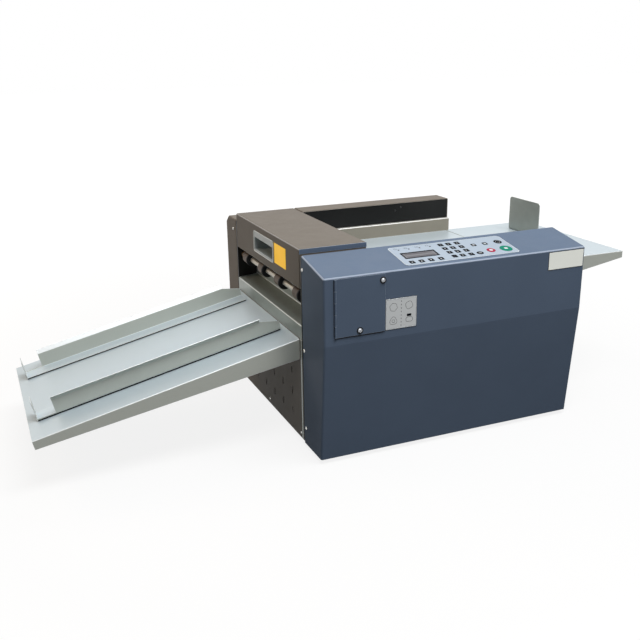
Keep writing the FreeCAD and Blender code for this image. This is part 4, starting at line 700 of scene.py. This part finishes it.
# ---------------------------------------------------------------- keypad
def glyph_mesh(text, size):
    """The flat mesh of a printed sign."""
    curve = bpy.data.curves.new("glyph", "FONT")
    curve.body = text
    curve.size = size
    curve.align_x = "CENTER"
    curve.align_y = "CENTER"
    holder = put("glyph", curve)
    mesh = bpy.data.meshes.new_from_object(holder.evaluated_get(bpy.context.evaluated_depsgraph_get()))
    bpy.data.objects.remove(holder)
    return mesh


FILM_TOP, DISPLAY_TOP, BUTTON_TOP = 0.8, 0.6, 1.28
INK_DEPTH, INK_EDGE = 0.14, 0.05
INK_TOP = FILM_TOP + INK_DEPTH
MARK_DEPTH, MARK_EDGE = 0.05, 0.02
NUMBER_COLUMNS, NUMBER_ROWS = (287.1, 305.1, 324.8), (81.8, 63.5, 45.0, 26.1)
NUMBER_SIGNS = (("1", "2", "3"), ("4", "5", "6"), ("7", "8", "9"), ("-", "0", "+"))
ARROW_KEYS = ((192.0, 22.6), (212.3, 22.6), (233.2, 23.2), (255.2, 23.2))
ARROW_TURNS, ARROW_REACH, ARROW_CORNERS = (180, 90, -90, 0), 2.4, (0, 130, 230)
LAMP_MARKS = ((189.7, 83.0), (212.3, 83.0), (236.0, 83.0), (259.8, 84.0))
LAMP_X, LAMP_Y, LAMP_RADIUS = 3.0, 2.6, 1.9
LAMP_LEFT, LAMP_RIGHT, LAMP_LOW, LAMP_HIGH, LAMP_CORNER = 5.0, 1.8, 0.2, 4.6, 1.6
MODE_KEYS = ((353.2, 64.4), (379.9, 65.0))
OVAL_KEY, ROUND_KEY = (345.1, 26.7), (411.2, 66.1)
START_KEY, STOP_KEY = (408.9, 32.4), (374.0, 32.6)
SIGN_SIZE, SIGN_LIFT = 6.6, 0.04
THIN_LINE, THIN_DEPTH = 0.5, 0.08
# Half width, half height and corner of the prints.
NUMBER_PRINT, MODE_PRINT = (5.6, 6.0, 1.6), (5.4, 5.4, 1.8)
MODE_MARK, OVAL_MARK, START_MARK = (2.6, 1.8, 0.6), (3.4, 0.8, 0.6), (3.6, 3.4, 0.8)
OVAL_RADIUS, OVAL_SQUASH, ROUND_RADIUS = 7.6, 0.86, 8.6
ROUND_MARK_RADIUS, ROUND_MARK_DEPTH, STOP_MARK_RADIUS, BUTTON_MARK_EDGE = 4.6, 0.06, 3.8, 0.04
# Left, right, low and high edge, and corner.
FILM_BOX, DISPLAY_BOX = (173.9, 429.1, 10.9, 94.1, 7.6), (187.0, 262.0, 38.5, 65.5, 1.0)
BORDER_WIDTH, BORDER_DEPTH, BORDER_EDGE = 1.0, 0.2, 0.08
BEZEL_WIDTH, BEZEL_DEPTH, BEZEL_EDGE = 3.2, 0.3, 0.12

inks = bmesh.new()
for x, s in [(x, s) for x in NUMBER_COLUMNS for s in NUMBER_ROWS] + list(ARROW_KEYS):
    add_slab(inks, around(x, s, *NUMBER_PRINT), FILM_TOP, INK_TOP, INK_EDGE)
for x, s in MODE_KEYS:
    add_slab(inks, around(x, s, *MODE_PRINT), FILM_TOP, INK_TOP, INK_EDGE)
add_slab(inks, disc(*OVAL_KEY, OVAL_RADIUS, squash=OVAL_SQUASH), FILM_TOP, INK_TOP, INK_EDGE)
add_slab(inks, disc(*ROUND_KEY, ROUND_RADIUS), FILM_TOP, INK_TOP, INK_EDGE)
for x, s in LAMP_MARKS:
    add_slab(inks, disc(x + LAMP_X, s - LAMP_Y, LAMP_RADIUS, steps=16), FILM_TOP, INK_TOP, INK_EDGE)
    add_ring(inks, rounded(x - LAMP_LEFT, x + LAMP_RIGHT, s + LAMP_LOW, s + LAMP_HIGH, LAMP_CORNER, steps=3),
             THIN_LINE, FILM_TOP, FILM_TOP + THIN_DEPTH, MARK_EDGE)
piece("key_prints", inks, keypad_plane, KEY_INK, "machine")

border = bmesh.new()
add_ring(border, rounded(*FILM_BOX), BORDER_WIDTH, FILM_TOP, FILM_TOP + BORDER_DEPTH, BORDER_EDGE)
piece("keypad_border", border, keypad_plane, PALE_INK, "machine")

marks = bmesh.new()
for s, signs_of_row in zip(NUMBER_ROWS, NUMBER_SIGNS):
    for x, sign in zip(NUMBER_COLUMNS, signs_of_row):
        printed = glyph_mesh(sign, SIGN_SIZE)
        printed.transform(Matrix.Translation((x, s, INK_TOP + SIGN_LIFT)))
        marks.from_mesh(printed)
for (x, s), angle in zip(ARROW_KEYS, ARROW_TURNS):
    turns = [math.radians(angle) + math.radians(corner) for corner in ARROW_CORNERS]
    marks.faces.new([marks.verts.new((x + ARROW_REACH * math.cos(turn), s + ARROW_REACH * math.sin(turn),
                                      INK_TOP + SIGN_LIFT)) for turn in turns])
for x, s in MODE_KEYS:
    add_slab(marks, around(x, s, *MODE_MARK), INK_TOP, INK_TOP + MARK_DEPTH)
add_ring(marks, disc(*ROUND_KEY, ROUND_MARK_RADIUS), THIN_LINE, INK_TOP, INK_TOP + ROUND_MARK_DEPTH,
         MARK_EDGE)
add_slab(marks, around(*OVAL_KEY, *OVAL_MARK), INK_TOP, INK_TOP + MARK_DEPTH)
piece("key_marks", marks, keypad_plane, PALE_INK, "machine")

bezel = bmesh.new()
add_ring(bezel, rounded(*DISPLAY_BOX), BEZEL_WIDTH, FILM_TOP, FILM_TOP + BEZEL_DEPTH, BEZEL_EDGE)
piece("display_bezel", bezel, keypad_plane, KEY_INK, "machine")

CELL_ROWS, CELL_COLUMNS, CELL_LEFT, CELL_STEP = (46.2, 57.4), 16, 194.2, 3.8
CELL_WIDTH, CELL_HALF, CELL_DEPTH, CELL_CORNER = 2.8, 3.4, 0.06, 0.3
cells = bmesh.new()
for s in CELL_ROWS:
    for column in range(CELL_COLUMNS):
        x = CELL_LEFT + column * CELL_STEP
        add_slab(cells, rounded(x, x + CELL_WIDTH, s - CELL_HALF, s + CELL_HALF, CELL_CORNER, steps=2),
                 DISPLAY_TOP, DISPLAY_TOP + CELL_DEPTH)
piece("display_cells", cells, keypad_plane, DISPLAY_INK, "machine")

green_mark = bmesh.new()
add_slab(green_mark, around(*START_KEY, *START_MARK), BUTTON_TOP, BUTTON_TOP + INK_DEPTH, BUTTON_MARK_EDGE)
piece("start_mark", green_mark, keypad_plane, PALE_INK, "start_button")
red_mark = bmesh.new()
add_slab(red_mark, disc(*STOP_KEY, STOP_MARK_RADIUS), BUTTON_TOP, BUTTON_TOP + INK_DEPTH, BUTTON_MARK_EDGE)
piece("stop_mark", red_mark, keypad_plane, PALE_INK, "stop_button")


# ---------------------------------------------------------------- plates
PRINT_DEPTH, PRINT_EDGE = 0.08, 0.02
SHADOW_TAPE_TOP, SIGN_SHADOW_TAPE_TOP = 0.25, 0.2
NAME_TOP, SIGN_TOP, PLATE_EDGE = 0.85, 0.7, 0.15
# Left, right, low and high edge, and corner.
NAME_SHADOW_TAPE_BOX, NAME_BOX = (490.4, 576.4, 339.2, 376.2, 0.8), (491.2, 575.6, 340, 375.4, 0.8)
SIGN_SHADOW_TAPE_BOX, SIGN_BOX = (124.6, 191.5, 265.0, 326.2, 1.0), (125.3, 190.8, 265.8, 325.5, 1.0)
SIGN_RIM_BOX, SIGN_BAR_BOX = (125.5, 190.6, 266.0, 325.3, 0.9), (170.1, 179.7, 287.6, 292.4, 0.5)
AMBER_BOX, AMBER_TOP, AMBER_EDGE = (-256.5, -190, 351.5, 394, 1.2), 0.4, 0.1
SIGN_RIM_WIDTH, SIGN_RIM_DEPTH, SIGN_RIM_EDGE = 1.3, 0.15, 0.05
# Each plate sits on black tape a little larger than itself, and the tape's rim paints a shadow line round the
# plate.
name_shadow_tape = bmesh.new()
add_slab(name_shadow_tape, rounded(*NAME_SHADOW_TAPE_BOX), 0.0, SHADOW_TAPE_TOP)
piece("name_plate_tape", name_shadow_tape, front_plane, RUBBER, "machine")
name_plate = bmesh.new()
add_slab(name_plate, rounded(*NAME_BOX), SHADOW_TAPE_TOP, NAME_TOP, PLATE_EDGE)
piece("name_plate", name_plate, front_plane, NAME_PLATE, "machine")

sign_shadow_tape = bmesh.new()
add_slab(sign_shadow_tape, rounded(*SIGN_SHADOW_TAPE_BOX), 0.0, SIGN_SHADOW_TAPE_TOP)
piece("sign_plate_tape", sign_shadow_tape, front_plane, RUBBER, "machine")
sign_plate = bmesh.new()
add_slab(sign_plate, rounded(*SIGN_BOX), SIGN_SHADOW_TAPE_TOP, SIGN_TOP, PLATE_EDGE)
piece("sign_plate", sign_plate, front_plane, SIGN_PLATE, "machine")
sign_rim = bmesh.new()
add_ring(sign_rim, rounded(*SIGN_RIM_BOX), SIGN_RIM_WIDTH, SIGN_TOP, SIGN_TOP + SIGN_RIM_DEPTH,
         SIGN_RIM_EDGE)
piece("sign_plate_rim", sign_rim, front_plane, PALE_INK, "machine")

SIGN_LINE = 0.6
SIGN_SHAPES = (lobed(141.5, 309, 8.0, 6, 0.05), lobed(174.5, 309.5, 7.8, 4, 0.06),
               lobed(141.5, 282, 7.6, 3, 0.10), rounded(168.0, 182.6, 276.4, 286.2, 4.0),
               rounded(138.4, 144.8, 278.8, 284.6, 2.0))
DASHES, DASH_FOOT, DASH_STEP, DASH_LENGTH = 8, 270, 6.8, 3.0
DASH_LEFT, DASH_RIGHT, DASH_CORNER = 157.5, 158.5, 0.4
signs = bmesh.new()
for outline in SIGN_SHAPES:
    add_ring(signs, outline, SIGN_LINE, SIGN_TOP, SIGN_TOP + PRINT_DEPTH, PRINT_EDGE)
for n in range(DASHES):
    foot = DASH_FOOT + n * DASH_STEP
    add_slab(signs, rounded(DASH_LEFT, DASH_RIGHT, foot, foot + DASH_LENGTH, DASH_CORNER, steps=2),
             SIGN_TOP, SIGN_TOP + PRINT_DEPTH, PRINT_EDGE)
add_slab(signs, rounded(*SIGN_BAR_BOX, steps=3), SIGN_TOP, SIGN_TOP + PRINT_DEPTH, PRINT_EDGE)
piece("sign_print", signs, front_plane, KEY_INK, "machine")

amber_plate = bmesh.new()
add_slab(amber_plate, rounded(*AMBER_BOX), 0.0, AMBER_TOP, AMBER_EDGE)
piece("amber_plate", amber_plate, exit_plane, AMBER_FILM, "cover")


# ---------------------------------------------------------------- fold of the exit panel, painted shade round the door
FOLD_BOX, FOLD_FOOT, FOLD_TOP, FOLD_EDGE = (-117.8, -113.2, 14, 228, 0.8), -0.4, 0.6, 0.4
fold = bmesh.new()
add_slab(fold, rounded(*FOLD_BOX), FOLD_FOOT, FOLD_TOP, FOLD_EDGE)
piece("panel_fold", fold, exit_plane, ZINC_SHEET, "machine")

# A black ring just outside the door's edges paints the shade in the seam round the door.
SEAM_SHADE_WIDTH, SEAM_SHADE_FOOT, SEAM_SHADE_TOP, SEAM_SHADE_EDGE = 3.4, 0.02, 0.24, 0.05
SEAM_SHADE_BOX = (19.4, 124.2, 262.8, 377.2, SEAM_SHADE_WIDTH)
seam_shade = bmesh.new()
add_ring(seam_shade, rounded(*SEAM_SHADE_BOX), SEAM_SHADE_WIDTH, SEAM_SHADE_FOOT, SEAM_SHADE_TOP, SEAM_SHADE_EDGE)
piece("door_gasket", seam_shade, front_plane, RUBBER, "machine")


# ---------------------------------------------------------------- back of the machine
REAR_SCREW_COLUMNS, REAR_SCREW_ROWS = (22, 266, 510), (30, 368)
set_out("rear_cover_screws", [place(x, REAR_FACE, z) for x in REAR_SCREW_COLUMNS for z in REAR_SCREW_ROWS],
        FACE_BACK, screw, SCREW_STEEL, "machine", seed=17)

VENT_LEFT, VENT_FOOT, VENT_PITCH, VENT_STEP = 60.0, 92.0, 44.0, 9.0
VENT_COLUMNS, VENT_ROWS = 3, 13
LOUVRE_HALF, LOUVRE_TAPER, LOUVRE_DEPTH = 17.0, 2.4, 1.9
# Profile of a louvre: how far up and how far out it stands.
LOUVRE_PROFILE = ((0.0, 0.0), (0.0, 1.5), (0.7, LOUVRE_DEPTH), (2.4, 1.7), (4.4, 0.9), (5.6, 0.0))
SLIT_HALF, SLIT_LOW, SLIT_HIGH, SLIT_CORNER, SLIT_DEPTH = 15.5, 1.3, 0.1, 0.4, 0.12
UPRIGHT_BACK = Vector((math.radians(90), 0, math.radians(180)))
vent_places = [(VENT_LEFT + column * VENT_PITCH, VENT_FOOT + row * VENT_STEP)
               for column in range(VENT_COLUMNS) for row in range(VENT_ROWS)]
louvre_mesh = bmesh.new()
rows = []
for up, out in LOUVRE_PROFILE:
    half = LOUVRE_HALF - LOUVRE_TAPER * out / LOUVRE_DEPTH
    rows.append([louvre_mesh.verts.new((side * half, up, out)) for side in (-1, 1)])
for lower, upper in zip(rows, rows[1:]):
    louvre_mesh.faces.new((lower[0], lower[1], upper[1], upper[0]))
louvre_mesh.faces.new((rows[-1][0], rows[-1][1], rows[0][1], rows[0][0]))
for side in (0, 1):
    louvre_mesh.faces.new([row[side] for row in rows])
louvre = master("louvre", louvre_mesh)
set_out("vent_louvres", [place(x, REAR_FACE, z) for x, z in vent_places],
        UPRIGHT_BACK, louvre, TAUPE_PAINT, "machine", spin=0.0)
# Black strips just under the louvres paint the shade in the openings beneath them.
slit_shade = bmesh.new()
for x, z in vent_places:
    slit = rounded(-x - SLIT_HALF, -x + SLIT_HALF, z - SLIT_LOW, z - SLIT_HIGH, SLIT_CORNER, steps=2)
    add_slab(slit_shade, slit, REAR_FACE, REAR_FACE + SLIT_DEPTH)
piece("vent_slits", slit_shade, back_plane, BLACK_PLASTIC, "machine")

INLET_X, INLET_Z, PIN_FOOT, PIN_TIP = 444.0, 66.0, 578.2, 590.0
PIN_PLACES = ((0.0, 3.6), (-7.0, -2.4), (7.0, -2.4))
PIN_SECTION, PIN_POINT = (1.0, 2.4, 0.3), 0.5
pins = bmesh.new()
for across, up in PIN_PLACES:
    pin = around(-INLET_X + across, INLET_Z + up, *PIN_SECTION, steps=2)
    add_slab(pins, pin, PIN_FOOT, PIN_TIP, PIN_POINT)
piece("inlet_pins", pins, back_plane, BRIGHT_STEEL, "machine")


# ---------------------------------------------------------------- door and cover trim
DOOR_FACE, RING_RADIUS, RING_WIDTH, RING_HEIGHT, RING_EDGE = 1.8, 6.6, 1.7, 0.5, 0.15
THUMB_SCREWS = {"upper_screw_ring": (118.6, 364.85), "lower_screw_ring": (71.7, 273.75)}
# Black rings on the door round the thumb screws: washers, which also paint the shade round each screw head.
for name, (x, z) in THUMB_SCREWS.items():
    ring = bmesh.new()
    add_ring(ring, disc(x, z, RING_RADIUS), RING_WIDTH, DOOR_FACE, DOOR_FACE + RING_HEIGHT, RING_EDGE)
    piece(name, ring, front_plane, BLACK_PLASTIC, "door")

LID_FRONT = 117
STRIP_BOX, STRIP_TOP, STRIP_EDGE = (0.3, 142.2, 399.6, 409.2, 0.2), 0.3, 0.1
lid_strip = bmesh.new()
add_slab(lid_strip, rounded(*STRIP_BOX, steps=2), 0.0, STRIP_TOP, STRIP_EDGE)
piece("lid_front_strip", lid_strip, plane(place(0, LID_FRONT, 0), X, Z), SLATE_PAINT, "cover")

BEAD_BOX = (-384.8, -259.2, 348.7, 395.3, 6.8)
BEAD_WIDTH, BEAD_FOOT, BEAD_TOP, BEAD_EDGE = 1.9, 1.0, 2.0, 0.6
bead = bmesh.new()
add_ring(bead, rounded(*BEAD_BOX), BEAD_WIDTH, BEAD_FOOT, BEAD_TOP, BEAD_EDGE)
piece("grip_bead", bead, exit_plane, RIM_PLASTIC, "cover")


# ---------------------------------------------------------------- stage
WHITE = (1, 1, 1, 1)
PAPER = (0.14, 0.14, 0.14, 1)
FLOOR_HALF = 14
# The floor's own light: dimmer near the machine than farther out, by distance in metres.
LIFT_RANGE, LIFT = (0.8, 2.6), (0.86, 1.0)
AMBIENT = 0.11


def seen_straight(board):
    """1 for rays from the camera, mirrors and glass, else 0."""
    ray = board.node("ShaderNodeLightPath")
    return board.sum("MAXIMUM", ray.outputs["Is Camera Ray"], board.sum(
        "MAXIMUM", ray.outputs["Is Glossy Ray"], ray.outputs["Is Transmission Ray"]))


def make_floor_finish():
    """Pale studio paper: it takes the machine's shadow, and shows white to the camera and in reflections."""
    made = bpy.data.materials.new("studio paper")
    made.use_nodes = True
    made.node_tree.nodes.clear()
    board = Board(made.node_tree)
    paper = board.node("ShaderNodeBsdfDiffuse", {"Color": PAPER})
    where = board.node("ShaderNodeTexCoord").outputs["Object"]
    reach = board.node("ShaderNodeVectorMath", {"Vector": where}, operation="LENGTH").outputs["Value"]
    lift = board.node("ShaderNodeEmission", {
        "Color": WHITE,
        "Strength": board.sum("MULTIPLY", seen_straight(board), board.stretch(reach, *LIFT_RANGE, *LIFT))})
    both = board.node("ShaderNodeAddShader")
    board.tree.links.new(paper.outputs[0], both.inputs[0])
    board.tree.links.new(lift.outputs[0], both.inputs[1])
    end = board.node("ShaderNodeOutputMaterial")
    board.tree.links.new(both.outputs[0], end.inputs["Surface"])
    return made


floor_mesh = bpy.data.meshes.new("floor")
floor_mesh.from_pydata([(FLOOR_HALF * x, FLOOR_HALF * y, 0) for x, y in ((-1, -1), (1, -1), (1, 1), (-1, 1))],
                       [], [(0, 1, 2, 3)])
floor_mesh.materials.append(make_floor_finish())
put("floor", floor_mesh)

world = bpy.data.worlds.new("studio")
bpy.context.scene.world = world
world.use_nodes = True
world.node_tree.nodes.clear()
sky = Board(world.node_tree)
backdrop = sky.node("ShaderNodeBackground", {
    "Color": WHITE, "Strength": sky.stretch(seen_straight(sky), 0.0, 1.0, AMBIENT, 1.0)})
sky.tree.links.new(backdrop.outputs[0], sky.node("ShaderNodeOutputWorld").inputs["Surface"])


def lamp(name, at, towards, width, depth, power, colour=(1, 1, 1)):
    """A soft rectangular lamp that looks at a point; lengths in metres, power in watts."""
    light = bpy.data.lights.new(name, "AREA")
    light.shape = "RECTANGLE"
    light.size = width
    light.size_y = depth
    light.energy = power
    light.color = colour
    made = put(name, light)
    made.location = at
    made.rotation_euler = (Vector(towards) - Vector(at)).to_track_quat("-Z", "Y").to_euler()


lamp("overhead", at=(0.1, -0.1, 2.6), towards=(0, 0, 0.3), width=2.6, depth=2.2, power=8)
lamp("front_key", at=(0.3, -1.15, 2.7), towards=(0, 0, 0.2), width=2.4, depth=1.0, power=64)
lamp("rear_fill", at=(0.9, 1.9, 2.3), towards=(0.1, 0, 0.2), width=1.6, depth=1.0, power=10)
lamp("side_fill", at=(-1.5, 1.1, 1.4), towards=(-0.1, 0, 0.3), width=1.2, depth=1.0, power=9,
     colour=(1, 0.75, 0.5))

bpy.context.scene.view_settings.view_transform = "Standard"

for spare in masters:
    bpy.data.objects.remove(spare)
